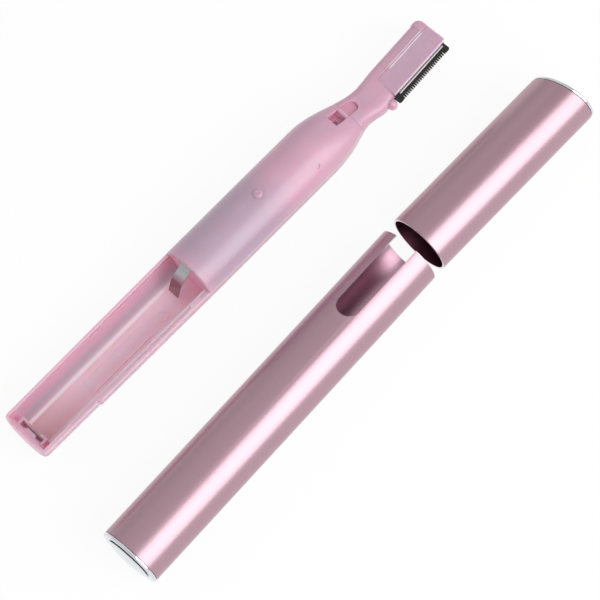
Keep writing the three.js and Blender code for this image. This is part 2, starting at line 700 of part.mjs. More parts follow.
function rearShell() {
  const bodySections = stations(BAY_END, SEAM_X - SEAM_GAP).map((x) => section(x, 0));
  const skin = solid(lofted([...tailSections(0), ...bodySections])).intersect(lowerHalf(-FAR, SEAM_X));
  const channel = (x0, x1, top) => {
    const half = STRIP_WIDTH / 2 + SEAT_GAP;
    return solid(block(x0, x1, -half, half, -STRIP_DEPTH - SEAT_GAP, top));
  };
  const stripChannel = join(
    channel(CONTACT_X + CONTACT_SHEET, BULKHEAD_END, -STRIP_DEPTH + STRIP_SHEET + SEAT_GAP),
    channel(BULKHEAD_X, BULKHEAD_END + STRIP_TAIL + SEAT_GAP, -BAY_FLOOR),
  );
  const rimNotch = solid(block(
    TAIL_LENGTH - NOTCH_LENGTH, TAIL_LENGTH,
    -FAR, bodyCentre(0) - bodyHalfWidth(TAIL_LENGTH) + NOTCH_DEPTH, PARTING - NOTCH_LENGTH, FAR,
  ));
  const bossTop = LEVER_BASE - RUN_GAP;
  const bossBase = -bodyHeight(PIVOT_X) + SHELL_WALL / 2;
  const pivotBoss = solid(post(LEVER_HUB_RADIUS, PIVOT_X, PIVOT_Y, bossBase, bossTop));
  const holeBase = -bodyHeight(PIVOT_X) + SHELL_WALL;
  const pinHole = solid(post(PIVOT_RADIUS + SEAT_GAP, PIVOT_X, PIVOT_Y, holeBase, bossTop + OVERCUT));
  const hollow = cut(skin, batteryBay(), motorRoom(BULKHEAD_X), bulkheadGroove());
  const withinSkin = bodyLoft(END_WALL / 3, SEAM_X - SEAM_GAP, SHELL_WALL / 5);
  const fittings = [rimLedge(), contactHook(1), contactHook(-1), contactRib(), floorMarks(), pivotBoss]
    .map((item) => item.intersect(withinSkin));
  return cut(join(hollow, ...fittings, cradle(lowerHalf(0, SEAM_X))), stripChannel, rimNotch, pinHole);
}

function frontCover() {
  const sections = stations(BAY_END + COVER_BEVEL, SEAM_X - SEAM_GAP).map((x) => section(x, 0));
  const skin = solid(lofted([section(BAY_END, COVER_BEVEL), ...sections])).intersect(upperHalf(0, SEAM_X));
  const room = motorRoom(BAY_END - SEAM_GAP);
  const ball = (radius, height, z) => solid(new THREE.SphereGeometry(radius, PIN_POINTS, PIN_POINTS / 2)
    .rotateX(Math.PI / 2)
    .scale(1, 1, height / radius)
    .translate(KEY_X, 0, BODY_RADIUS + z));
  const dishTop = KEY_HEIGHT + KEY_DISH_RADIUS - KEY_DISH_DEPTH;
  const dome = cut(ball(KEY_RADIUS, KEY_HEIGHT, 0), ball(KEY_DISH_RADIUS, KEY_DISH_RADIUS, dishTop), room);
  const key = join(dome, ball(KEY_PIP_RADIUS, KEY_PIP_RADIUS, KEY_HEIGHT - KEY_DISH_DEPTH));
  const hollow = cut(skin, room, bulkheadGroove());
  const withinSkin = bodyLoft(0, SEAM_X - SEAM_GAP, SHELL_WALL / 3);
  const pillar = solid(block(
    SWITCH_LEAF_X, SWITCH_LEAF_X + SWITCH_PILLAR, -SWITCH_LEAF_WIDTH / 2, SWITCH_LEAF_WIDTH / 2,
    SWITCH_LEAF_Z + SWITCH_SHEET / 2 + SEAT_GAP, bodyHeight(SWITCH_LEAF_X) - SHELL_WALL / 2,
  )).intersect(withinSkin);
  const tray = switchTray().intersect(withinSkin);
  const dot = post(DOT_RADIUS, 0, 0, BODY_RADIUS - DOT_DEPTH, BODY_RADIUS + OVERCUT, PIN_POINTS)
    .rotateX(DOT_TURN)
    .translate(DOT_X, 0, 0);
  const whole = join(hollow, key, pillar, tray, cradle(upperHalf(0, SEAM_X)));
  return cut(whole, slotTool(), flangeChannel(), solid(dot));
}

// Contacts

function contactBulkhead() {
  const disc = solid(bar(INNER_RADIUS + GROOVE_DEPTH - SEAT_GAP, BULKHEAD_X, BULKHEAD_END));
  const slot = (y, width, z0, z1) => solid(block(
    BULKHEAD_X - OVERCUT, BULKHEAD_END + OVERCUT,
    y - width / 2 - SEAT_GAP, y + width / 2 + SEAT_GAP, z0 - SEAT_GAP, z1 + SEAT_GAP,
  ));
  const leafSlot = slot(
    LEAF_OFFSET - LEAF_SLOT_SPARE / 2, LEAF_WIDTH + LEAF_SLOT_SPARE,
    LEAF_TOP - CONTACT_SHEET / 2, LEAF_TOP + CONTACT_SHEET / 2,
  );
  const stripSlot = slot(0, STRIP_WIDTH, -BODY_RADIUS, -STRIP_DEPTH + STRIP_SHEET);
  return cut(disc, leafSlot, stripSlot);
}

function lowerContact() {
  const half = LOWER_CONTACT_WIDTH / 2;
  const corner = Math.sqrt(INNER_RADIUS ** 2 - half ** 2) - SEAT_GAP;
  const base = Math.min(LOWER_CONTACT_HEIGHT, corner);
  return block(CONTACT_X, CONTACT_X + CONTACT_SHEET, -half, half, -base, -2 * SEAM_GAP);
}

// Leaf through the bulkhead, bent down in front of it, with a steeper round-cornered toe
function upperContact() {
  const bend = BULKHEAD_X - SEAT_GAP;
  const knee = bend - LEAF_REACH;
  const kneeZ = LEAF_TOP - LEAF_FALL;
  const line = [
    [BULKHEAD_END + LEAF_TAIL, LEAF_TOP],
    [bend, LEAF_TOP],
    [knee, kneeZ],
    [knee - TOE_REACH, kneeZ - TOE_FALL],
  ];
  const right = LEAF_OFFSET - LEAF_WIDTH / 2;
  const left = LEAF_OFFSET + LEAF_WIDTH / 2;
  const low = kneeZ - TOE_FALL - CONTACT_SHEET;
  const outline = new THREE.Shape();
  outline.moveTo(left + OVERCUT, LEAF_TOP + OVERCUT);
  outline.lineTo(right - OVERCUT, LEAF_TOP + OVERCUT);
  outline.lineTo(right - OVERCUT, kneeZ);
  outline.lineTo(right, kneeZ);
  outline.absarc(right + TOE_CORNER, low + TOE_CORNER, TOE_CORNER, Math.PI, 1.5 * Math.PI, false);
  outline.absarc(left - TOE_CORNER, low + TOE_CORNER, TOE_CORNER, 1.5 * Math.PI, 2 * Math.PI, false);
  outline.lineTo(left, kneeZ);
  outline.lineTo(left + OVERCUT, kneeZ);
  const sheet = solid(bentSheet(line, CONTACT_SHEET, right, left));
  return sheet.intersect(solid(endways(outline, knee - FAR, BULKHEAD_END + FAR)));
}

function returnStrip() {
  const start = CONTACT_X + CONTACT_SHEET + SEAT_GAP;
  const half = STRIP_WIDTH / 2;
  return block(start, BULKHEAD_END + STRIP_TAIL, -half, half, -STRIP_DEPTH, -STRIP_DEPTH + STRIP_SHEET);
}

// Motor

function motorCan() {
  const hole = SHAFT_RADIUS + RUN_GAP;
  const inside = MOTOR_RADIUS - MOTOR_WALL;
  return turned([
    [MOTOR_X, inside],
    [MOTOR_X, MOTOR_RADIUS],
    [MOTOR_END, MOTOR_RADIUS],
    [MOTOR_END, BUSH_RADIUS],
    [MOTOR_END + BUSH_LENGTH, BUSH_RADIUS],
    [MOTOR_END + BUSH_LENGTH, hole],
    [MOTOR_END - MOTOR_WALL, hole],
    [MOTOR_END - MOTOR_WALL, inside],
    [MOTOR_X, inside],
  ], MOTOR_POINTS);
}

function motorMagnet() {
  const outer = MOTOR_RADIUS - MOTOR_WALL - SEAT_GAP;
  const start = MOTOR_X + (MOTOR_LENGTH - MAGNET_LENGTH) / 2;
  return ring(start, start + MAGNET_LENGTH, outer - MAGNET_THICKNESS, outer, MOTOR_POINTS);
}

function motorEndCap() {
  const end = MOTOR_X - SEAT_GAP;
  return ring(end - MOTOR_CAP, end, SHAFT_RADIUS + RUN_GAP, MOTOR_RADIUS, MOTOR_POINTS);
}

function motorTerminal(side) {
  const half = CONTACT_SHEET / 2;
  const y = side * TERMINAL_SPREAD;
  return block(
    TERMINAL_END - TERMINAL_LENGTH, TERMINAL_END, y - half, y + half, -TERMINAL_WIDTH / 2, TERMINAL_WIDTH / 2,
  );
}

function motorArmature() {
  const start = MOTOR_X + (MOTOR_LENGTH - ARMATURE_LENGTH) / 2;
  return ring(start, start + ARMATURE_LENGTH, SHAFT_RADIUS + SEAT_GAP, ARMATURE_RADIUS, POST_POINTS);
}

function motorShaft() {
  return bar(SHAFT_RADIUS, MOTOR_X - MOTOR_CAP, CRANK_X - SHAFT_COVER, PIN_POINTS);
}

// Hub on the shaft with its crank pin set off to one side
function eccentric() {
  const hub = solid(bar(ECCENTRIC_RADIUS, ECCENTRIC_X, CRANK_X, MOTOR_POINTS));
  const boreEnd = CRANK_X - SHAFT_COVER + SEAT_GAP;
  const bore = solid(bar(SHAFT_RADIUS + SEAT_GAP, ECCENTRIC_X - OVERCUT, boreEnd, PIN_POINTS));
  const crank = bar(CRANK_RADIUS, CRANK_X - SHAFT_COVER / 2, CRANK_END, PIN_POINTS)
    .translate(0, 0, ECCENTRIC_THROW);
  return join(cut(hub, bore), solid(crank));
}

// Lever

// Straight arm of the lever between two plan points
function arm(x0, y0, x1, y1) {
  const length = Math.hypot(x1 - x0, y1 - y0);
  return solid(block(0, length, -LEVER_WIDTH / 2, LEVER_WIDTH / 2, LEVER_BASE, LEVER_TOP)
    .rotateZ(Math.atan2(y1 - y0, x1 - x0))
    .translate(x0, y0, 0));
}

// Fork round the crank pin, pivot hub in the middle and output pin at the far end
function driveLever() {
  const prongTop = ECCENTRIC_THROW + CRANK_RADIUS;
  const bridgeStart = CRANK_END + RUN_GAP;
  const bridgeEnd = bridgeStart + LEVER_WIDTH;
  const half = FORK_HALF_WIDTH;
  const prongs = [
    solid(block(FORK_START, bridgeEnd, FORK_HALF_GAP, half, LEVER_BASE, prongTop)),
    solid(block(FORK_START, bridgeEnd, -half, -FORK_HALF_GAP, LEVER_BASE, prongTop)),
  ];
  const bridge = solid(block(bridgeStart, bridgeEnd, -half, half, LEVER_BASE, LEVER_TOP));
  const rearArm = arm((bridgeStart + bridgeEnd) / 2, 0, PIVOT_X, PIVOT_Y);
  const frontArm = arm(PIVOT_X, PIVOT_Y, OUTPUT_X, OUTPUT_Y);
  const hub = solid(post(LEVER_HUB_RADIUS, PIVOT_X, PIVOT_Y, LEVER_BASE, LEVER_TOP));
  const eye = solid(post(LEVER_WIDTH / 2, OUTPUT_X, OUTPUT_Y, LEVER_BASE, LEVER_TOP));
  const pinBase = LEVER_TOP - LEVER_THICKNESS / 3;
  const outputPin = solid(post(OUTPUT_RADIUS, OUTPUT_X, OUTPUT_Y, pinBase, CARRIER_TOP, PIN_POINTS));
  const bore = solid(post(
    PIVOT_RADIUS + RUN_GAP, PIVOT_X, PIVOT_Y, LEVER_BASE - OVERCUT, LEVER_TOP + OVERCUT,
  ));
  return cut(join(bridge, ...prongs, rearArm, frontArm, hub, eye, outputPin), bore);
}

function leverPin() {
  const base = -bodyHeight(PIVOT_X) + SHELL_WALL + SEAT_GAP;
  return post(PIVOT_RADIUS, PIVOT_X, PIVOT_Y, base, LEVER_TOP + PIN_HEAD);
}

// Head

// Sliver that rounds off one corner of the head's tip, side is +1 on the left
function tipCorner(radius, side) {
  const cx = HEAD_LENGTH - radius;
  const cy = HEAD_HALF_WIDTH - radius;
  const shape = new THREE.Shape();
  shape.moveTo(cx, cy + radius);
  shape.absarc(cx, cy, radius, Math.PI / 2, 0, true);
  shape.lineTo(HEAD_LENGTH + OVERCUT, cy);
  shape.lineTo(HEAD_LENGTH + OVERCUT, HEAD_HALF_WIDTH + OVERCUT);
  shape.lineTo(cx, HEAD_HALF_WIDTH + OVERCUT);
  const sliver = extruded(shape, -FAR, FAR);
  return solid(inHead(side > 0 ? sliver : sliver.rotateX(Math.PI)));
}

// Room for the plate and blades, open upwards and to the right, a little wider next to the neck
function bladePocket() {
  const right = BLADE_EDGE - 2 * TOOTH_LENGTH;
  const start = PLATE_START - SEAM_GAP;
  const left = PLATE_LEFT + SEAM_GAP;
  const seat = PLATE_BASE - SEAT_GAP;
  return join(
    solid(inHead(block(start, POCKET_END, right, left, POCKET_FLOOR, FAR))),
    solid(inHead(block(start, HEAD_LENGTH + OVERCUT, right, left, seat, FAR))),
    solid(inHead(block(start, PLATE_JOG_END + SEAT_GAP, right, left + PLATE_JOG, seat, FAR))),
  );
}

function headFrame() {
  const skin = bodyLoft(SEAM_X, TIP_X + OVERCUT, 0);
  const beyond = solid(inHead(block(HEAD_LENGTH, HEAD_LENGTH + FAR, -FAR, FAR, -FAR, FAR)));
  const tipEnds = [TIP_X - 2 * TIP_BLOCK, TIP_X + OVERCUT];
  const tipBlock = solid(lofted(tipEnds.map((x) => section(x, -TIP_RISE, TIP_SQUARENESS))))
    .intersect(solid(inHead(block(TIP_BLOCK_START, FAR, PLATE_LEFT, FAR, HEAD_HALF_THICKNESS / 4, FAR))));
  const ribRight = PLATE_LEFT + SEAM_GAP;
  const guideRib = solid(inHead(block(
    PLATE_START, TIP_BLOCK_START, ribRight, ribRight + GUIDE_RIB, 0, HEAD_HALF_THICKNESS + RIB_RISE,
  )));
  const boss = solid(inHead(new THREE.SphereGeometry(BOSS_RADIUS, PIN_POINTS, PIN_POINTS / 2)
    .scale(1, 1, BOSS_HALF_HEIGHT / BOSS_RADIUS)
    .translate(BOSS_ALONG, PLATE_RIGHT - BOSS_RADIUS / 2, BOSS_Z)));
  const carrierPocket = solid(inHead(block(
    CARRIER_START - CUTTER_ROOM, CARRIER_END + CUTTER_ROOM,
    CARRIER_RIGHT, CARRIER_RIGHT + CARRIER_WIDTH + 2 * RUN_GAP, CARRIER_Z - RUN_GAP, CUTTER_Z,
  )));
  const tunnelStart = SEAM_X - HEAD_X;
  const tunnelEnd = OUTPUT.x + LEVER_WIDTH / 2 + CUTTER_ROOM;
  const tunnelRight = OUTPUT.y - OUTPUT_SWING - LEVER_WIDTH / 2 - RUN_GAP;
  const tunnelLeft = OUTPUT.y + OUTPUT_SWING + 2 * LEVER_WIDTH;
  const leverTunnel = solid(inHead(raised([
    [tunnelStart, -LEVER_WIDTH],
    [OUTPUT.x - LEVER_WIDTH, tunnelRight],
    [tunnelEnd, tunnelRight],
    [tunnelEnd, tunnelLeft],
    [tunnelStart, tunnelLeft],
  ], LEVER_BASE - RUN_GAP, CARRIER_Z)));
  const neckRoom = bodyLoft(SEAM_X - OVERCUT, HEAD_X - HEAD_STANDOFF / 2, HEAD_WALL);
  const corners = [tipCorner(HEAD_CORNER, 1), tipCorner(HEAD_CORNER_SMALL, -1)];
  const outer = cut(join(skin, tipBlock, guideRib), beyond, ...corners);
  const rooms = [bladePocket(), carrierPocket, leverTunnel, neckRoom, slotTool(), flangeChannel()];
  return cut(join(outer, boss), ...rooms);
}

// Plate over the blades with two pegs under it, and a lip and a small jog along its left edge
function bladeCover() {
  const plate = solid(inHead(raised([
    [PLATE_START, PLATE_RIGHT],
    [HEAD_LENGTH, PLATE_RIGHT],
    [HEAD_LENGTH, PLATE_LEFT],
    [PLATE_JOG_END, PLATE_LEFT],
    [PLATE_JOG_END, PLATE_LEFT + PLATE_JOG],
    [PLATE_START, PLATE_LEFT + PLATE_JOG],
  ], PLATE_BASE, PLATE_TOP)));
  const lipLeft = PLATE_LEFT - LIP_INSET;
  const lip = solid(inHead(block(
    PLATE_JOG_END, TIP_BLOCK_START, lipLeft - PLATE_LIP, lipLeft,
    PLATE_BASE + PLATE_THICKNESS / 2, PLATE_TOP + RIB_RISE,
  )));
  const pegTop = PLATE_TOP - PLATE_THICKNESS / 2;
  const pegs = PEG_PLACES.map((along) => (
    solid(inHead(post(PEG_RADIUS, along, BLADE_MIDDLE, COMB_Z, pegTop, PIN_POINTS)))
  ));
  return join(cut(plate, tipCorner(HEAD_CORNER_SMALL, -1)), lip, ...pegs);
}

// Toothed strip with a rounded lug past the teeth at each end
function toothedStrip(start, end, lugStart, base, setback) {
  const edge = BLADE_EDGE + setback;
  const tip = edge - TOOTH_LENGTH;
  const back = PLATE_RIGHT + BLADE_BACK;
  const shape = new THREE.Shape();
  shape.moveTo(start, back);
  shape.lineTo(start, PLATE_RIGHT - SEAT_GAP);
  shape.lineTo(lugStart, PLATE_RIGHT - SEAT_GAP);
  shape.lineTo(lugStart, tip + LUG_RADIUS);
  shape.absarc(lugStart + LUG_RADIUS, tip + LUG_RADIUS, LUG_RADIUS, Math.PI, 1.5 * Math.PI, false);
  shape.lineTo(lugStart + LUG_LENGTH, tip);
  shape.lineTo(lugStart + LUG_LENGTH, edge);
  const half = TOOTH_BASE / 2;
  const centres = Array.from({ length: TOOTH_COUNT }, (_, i) => FIRST_TOOTH + i * TOOTH_PITCH)
    .filter((centre) => centre - half > lugStart + LUG_LENGTH && centre + half < end - LUG_LENGTH);
  for (const centre of centres) {
    shape.lineTo(centre - half, edge);
    shape.lineTo(centre - TOOTH_TIP / 2, tip);
    shape.lineTo(centre + TOOTH_TIP / 2, tip);
    shape.lineTo(centre + half, edge);
  }
  shape.lineTo(end - LUG_LENGTH, edge);
  shape.lineTo(end - LUG_LENGTH, tip);
  shape.lineTo(end - LUG_RADIUS, tip);
  shape.absarc(end - LUG_RADIUS, tip + LUG_RADIUS, LUG_RADIUS, 1.5 * Math.PI, 2 * Math.PI, false);
  shape.lineTo(end, back);
  return solid(inHead(extruded(shape, base, base + BLADE_THICKNESS, 5)));
}

// Hole through a blade that takes a peg
function pegHole(along, base) {
  const top = base + BLADE_THICKNESS + OVERCUT;
  return solid(inHead(post(PEG_RADIUS + SEAT_GAP, along, BLADE_MIDDLE, base - OVERCUT, top, PIN_POINTS)));
}

function fixedComb() {
  const strip = toothedStrip(COMB_START, COMB_END, LUG_START, COMB_Z, 0);
  return cut(strip, ...PEG_PLACES.map((along) => pegHole(along, COMB_Z)));
}

function movingBlade() {
  const start = COMB_START + CUTTER_ROOM;
  const end = COMB_END - CUTTER_ROOM;
  const strip = toothedStrip(start, end, LUG_START + CUTTER_ROOM + SEAT_GAP, CUTTER_Z, CUTTER_SETBACK);
  return cut(strip, pegHole(CARRIER_PEG, CUTTER_Z));
}

// Slider under the blade, driven by the lever's pin in a slot across it
function bladeCarrier() {
  const right = CARRIER_RIGHT + RUN_GAP;
  const left = right + CARRIER_WIDTH;
  const plate = solid(inHead(block(CARRIER_START, CARRIER_END, right, left, CARRIER_Z, CARRIER_TOP)));
  const slotWide = OUTPUT_RADIUS + RUN_GAP;
  const slotHalf = OUTPUT_SWING + slotWide;
  const slot = solid(inHead(block(
    OUTPUT.x - slotWide, OUTPUT.x + slotWide, OUTPUT.y - slotHalf, OUTPUT.y + slotHalf,
    CARRIER_Z - OVERCUT, CARRIER_TOP + OVERCUT,
  )));
  const pegTop = CUTTER_Z + BLADE_THICKNESS - SEAT_GAP;
  const pegBase = CARRIER_TOP - CARRIER_THICKNESS / 2;
  const peg = solid(inHead(post(PEG_RADIUS, CARRIER_PEG, BLADE_MIDDLE, pegBase, pegTop, PIN_POINTS)));
  return join(cut(plate, slot), peg);
}

function retainingStrip() {
  const right = PLATE_RIGHT - RETAINER_PROUD;
  return inHead(block(
    PLATE_START + RETAINER_BACK, POCKET_END - RETAINER_FRONT, right, right + RETAINER_WIDTH,
    RETAINER_Z, RETAINER_Z + RETAINER_THICKNESS,
  ));
}

// Shallow bow that presses the moving blade up against the comb
function bladeSpring() {
  const low = POCKET_FLOOR + SEAT_GAP + SPRING_SHEET / 2;
  const rise = CUTTER_Z - SEAT_GAP - SPRING_SHEET / 2 - low;
  const start = (CARRIER_END + POCKET_END - SPRING_LENGTH) / 2;
  const line = Array.from({ length: SPRING_STEPS + 1 }, (_, i) => {
    const share = i / SPRING_STEPS;
    return [start + SPRING_LENGTH * share, low + rise * Math.sin(Math.PI * share)];
  });
  const half = SPRING_WIDTH / 2;
  return inHead(bentSheet(line, SPRING_SHEET, BLADE_MIDDLE - half, BLADE_MIDDLE + half));
}

// Switch

// Thumb piece: a ridge and a smooth deck seen in the slot, and a flange that keeps it in
function switchSlider() {
  const front = SLOT_LENGTH / 2 - RUN_GAP;
  const back = -RIDGE_WIDTH / 2;
  const half = SLIDER_HALF_WIDTH;
  const deckShape = slotShape(front - back, 2 * half);
  const deck = extruded(deckShape, SLIDER_UNDER - SLIDER_FLANGE / 2, -SLIDER_SINK)
    .translate((front + back) / 2, 0, 0);
  const ridgeRadius = RIDGE_WIDTH / 2;
  const ridgeShape = new THREE.Shape();
  ridgeShape.moveTo(back, SLIDER_UNDER);
  ridgeShape.absarc(0, -RUN_GAP - ridgeRadius, ridgeRadius, Math.PI, 0, true);
  ridgeShape.lineTo(-back, SLIDER_UNDER);
  const ridge = extruded(ridgeShape, -half, half).rotateX(Math.PI / 2);
  const flange = block(
    back, front - half, -FLANGE_HALF_WIDTH, FLANGE_HALF_WIDTH, SLIDER_UNDER - SLIDER_FLANGE, SLIDER_UNDER,
  );
  return join(...[deck, ridge, flange].map((item) => solid(onSlope(item))));
}

// Leaf fixed under the cover's pillar, its free end close below the slider
function switchContact() {
  const bend = SWITCH_LEAF_X + SWITCH_LEAF_LENGTH;
  const line = [
    [SWITCH_LEAF_X, SWITCH_LEAF_Z],
    [bend, SWITCH_LEAF_Z],
    [bend + SWITCH_LEAF_RISE, SWITCH_LEAF_Z + SWITCH_LEAF_RISE],
  ];
  return bentSheet(line, SWITCH_SHEET, -SWITCH_LEAF_WIDTH / 2, SWITCH_LEAF_WIDTH / 2);
}

// Sleeve and cap

// Hollow plug: a bright bezel and crowned face outside, a skirt inside the tube, facing -X
function plugProfile() {
  const skirt = TUBE_BORE - SEAT_GAP;
  const crownRadius = TUBE_RADIUS - PLUG_RIM;
  const crown = Array.from({ length: PLUG_CROWN_STEPS + 1 }, (_, i) => {
    const share = i / PLUG_CROWN_STEPS;
    return [-PLUG_BEZEL - PLUG_CROWN * (1 - share ** 2), crownRadius * share];
  });
  return [
    ...crown,
    [-PLUG_BEZEL, TUBE_RADIUS - PLUG_RIM / 2],
    [-PLUG_BEZEL + PLUG_RIM / 2, TUBE_RADIUS],
    [-SEAT_GAP, TUBE_RADIUS],
    [-SEAT_GAP, skirt],
    [PLUG_DEPTH, skirt],
    [PLUG_DEPTH, skirt - PLUG_WALL],
    [PLUG_WALL, skirt - PLUG_WALL],
    [PLUG_WALL, 0],
  ];
}

function sleevePlug() {
  return turned(plugProfile());
}

// Long tube with a thumb slot that ends in a half circle
function sleeveTube() {
  const radius = THUMB_SLOT_WIDTH / 2;
  const mouth = SLEEVE_LENGTH + OVERCUT;
  const end = SLEEVE_LENGTH - THUMB_SLOT_LENGTH + radius;
  const shape = new THREE.Shape();
  shape.moveTo(mouth, radius);
  shape.lineTo(end, radius);
  shape.absarc(end, 0, radius, Math.PI / 2, 1.5 * Math.PI, false);
  shape.lineTo(mouth, -radius);
  const tube = solid(ring(0, SLEEVE_LENGTH, TUBE_BORE, TUBE_RADIUS));
  return cut(tube, solid(extruded(shape, 0, TUBE_RADIUS + OVERCUT, 12)));
}

// Short tube, square at its mouth and slanted at its closed end
function capTube() {
  const tube = solid(ring(0, CAP_LENGTH + TUBE_RADIUS, TUBE_BORE, TUBE_RADIUS));
  const beyond = block(CAP_LENGTH, CAP_LENGTH + FAR, -FAR, FAR, -FAR, FAR).applyMatrix4(CAP_SHEAR);
  return cut(tube, solid(beyond));
}

function capPlug() {
  return turned(plugProfile())
    .rotateZ(Math.PI)
    .translate(CAP_LENGTH, 0, 0)
    .applyMatrix4(CAP_SHEAR);
}

// Assembly

function piece(name, shape, material) {
  const geometry = shape instanceof THREE.BufferGeometry ? shape : geometryOf(shape);
  const mesh = new THREE.Mesh(geometry, material);
  mesh.name = name;
  return mesh;
}

const trimmer = new THREE.Group();
trimmer.position.z = BODY_RADIUS;
trimmer.rotation.x = TRIMMER_ROLL;
trimmer.add(
  piece('rear_shell', rearShell(), PINK_PLASTIC),
  piece('front_cover', frontCover(), PINK_PLASTIC),
  piece('head_frame', headFrame(), PINK_PLASTIC),
  piece('blade_cover', bladeCover(), PINK_PLASTIC),
  piece('contact_bulkhead', contactBulkhead(), PINK_PLASTIC),
  piece('lower_contact', lowerContact(), SPRING_STEEL),
  piece('upper_contact', upperContact(), SPRING_STEEL),
  piece('return_strip', returnStrip(), BRASS),
  piece('motor_can', motorCan(), MOTOR_STEEL),
  piece('motor_magnet', motorMagnet(), FERRITE),
  piece('motor_end_cap', motorEndCap(), WHITE_NYLON),
  piece('motor_terminal_left', motorTerminal(1), BRASS),
  piece('motor_terminal_right', motorTerminal(-1), BRASS),
  piece('motor_armature', motorArmature(), COPPER),
  piece('motor_shaft', motorShaft(), SPRING_STEEL),
  piece('eccentric', eccentric(), WHITE_NYLON),
  piece('drive_lever', driveLever(), WHITE_NYLON),
  piece('lever_pin', leverPin(), SPRING_STEEL),
  piece('blade_carrier', bladeCarrier(), WHITE_NYLON),
  piece('moving_blade', movingBlade(), SPRING_STEEL),
  piece('fixed_comb', fixedComb(), BLACK_STEEL),
  piece('retaining_strip', retainingStrip(), SPRING_STEEL),
  piece('blade_spring', bladeSpring(), SPRING_STEEL),
  piece('switch_slider', switchSlider(), PINK_PLASTIC),
  piece('switch_contact', switchContact(), BRASS),
);

const sleeve = new THREE.Group();
sleeve.rotation.x = SLEEVE_ROLL;
sleeve.add(
  piece('sleeve_tube', sleeveTube(), ROSE_ALUMINIUM),
  piece('sleeve_plug', sleevePlug(), CHROME),
);

const cap = new THREE.Group();
cap.position.x = SLEEVE_LENGTH + CAP_GAP;
cap.rotation.set(CAP_ROLL, 0, CAP_TURN, 'ZYX');
cap.add(
  piece('cap_tube', capTube(), ROSE_ALUMINIUM),
  piece('cap_plug', capPlug(), CHROME),
);

const tubes = new THREE.Group();
tubes.position.set(SLEEVE_START, -BODY_RADIUS - TABLE_GAP - TUBE_RADIUS, TUBE_RADIUS);
tubes.rotation.z = SLEEVE_TURN;
tubes.add(sleeve, cap);

const layout = new THREE.Group();
layout.add(trimmer, tubes);
layout.updateMatrixWorld(true);

// Origin at the middle of the underside
const bounds = new THREE.Box3().setFromObject(layout, true);
const middle = bounds.getCenter(new THREE.Vector3());
layout.position.set(-middle.x, -middle.y, -bounds.min.z);

export default layout;
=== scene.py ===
"""Looks of the electric eyebrow trimmer: pearl plastic trimmer, anodised sleeve and cap, on a pale floor."""

import json
import math

import bmesh
import bpy
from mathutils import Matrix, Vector


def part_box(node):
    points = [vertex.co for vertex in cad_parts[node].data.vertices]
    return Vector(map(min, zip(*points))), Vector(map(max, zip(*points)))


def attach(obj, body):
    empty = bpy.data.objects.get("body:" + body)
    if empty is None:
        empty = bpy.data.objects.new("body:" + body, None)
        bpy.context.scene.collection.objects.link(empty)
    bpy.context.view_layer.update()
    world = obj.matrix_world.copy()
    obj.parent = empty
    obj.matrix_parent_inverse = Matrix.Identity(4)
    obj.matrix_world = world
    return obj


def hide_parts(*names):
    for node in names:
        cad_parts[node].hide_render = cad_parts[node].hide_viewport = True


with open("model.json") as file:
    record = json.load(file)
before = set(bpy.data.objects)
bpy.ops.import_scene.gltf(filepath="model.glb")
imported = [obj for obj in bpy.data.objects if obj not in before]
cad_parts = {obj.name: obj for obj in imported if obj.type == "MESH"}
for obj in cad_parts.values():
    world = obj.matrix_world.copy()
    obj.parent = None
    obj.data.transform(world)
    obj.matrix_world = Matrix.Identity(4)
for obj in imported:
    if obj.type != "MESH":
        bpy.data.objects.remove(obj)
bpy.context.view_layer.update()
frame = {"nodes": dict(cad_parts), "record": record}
MM = 0.001

# Camera at the photograph's viewing angle
CAMERA_PLACE = Vector((-0.12772463, -0.12193379, 0.61940))
CAMERA_TARGET = Vector((-0.00278963, -0.00237079, 0.0))
CAMERA_LENS = 179.0
CAMERA_CLIP = (0.01, 20)

# Floor and key light
FLOOR_HALF_SIZE = 3.0
FLOOR_COLOUR = (0.93, 0.93, 0.93, 1)
FLOOR_WHITENESS = 0.92
KEY_PLACE = Vector((0.08, -0.326, 0.264))
KEY_SIZE = (0.37, 0.42)
KEY_POWER = 1.42

# Sky: its level on each side and with height, and a dark gap at each end, by the parts of a direction
SKY_LEFT = 0.77
SKY_RIGHT = 0.76
SKY_SIDE = 0.7
SKY_LOW = 0.9
SKY_TOP = 1.15
SKY_RISE = (0.3, 0.95)
SKY_GAP = 0.06
GAP_ALONG = (0.40, 0.66)
GAP_ALONG_SOFT = 0.03
GAP_SIDE = 0.45
GAP_SIDE_SOFT = 0.1
GAP_FOOT = (0.25, 0.35)

# Edges of the moulded, cut and turned pieces
SHARP_ANGLE = math.radians(32)
FLAT_ANGLE = math.radians(0.4)
WELD = 1e-7
SHORT_EDGE = 0.01 * MM
EDGE_STEPS = 2
CROWN_STEPS = 2
EVEN_WEIGHT = 100
MOULDED_EDGE = 0.12 * MM
PLATE_EDGE = 0.22 * MM
WALL_EDGE = 0.08 * MM
SHEET_EDGE = 0.06 * MM
BLADE_EDGE = 0.04 * MM
TUBE_EDGE = 0.10 * MM
PLUG_EDGE = 0.08 * MM
FACING = 0.7

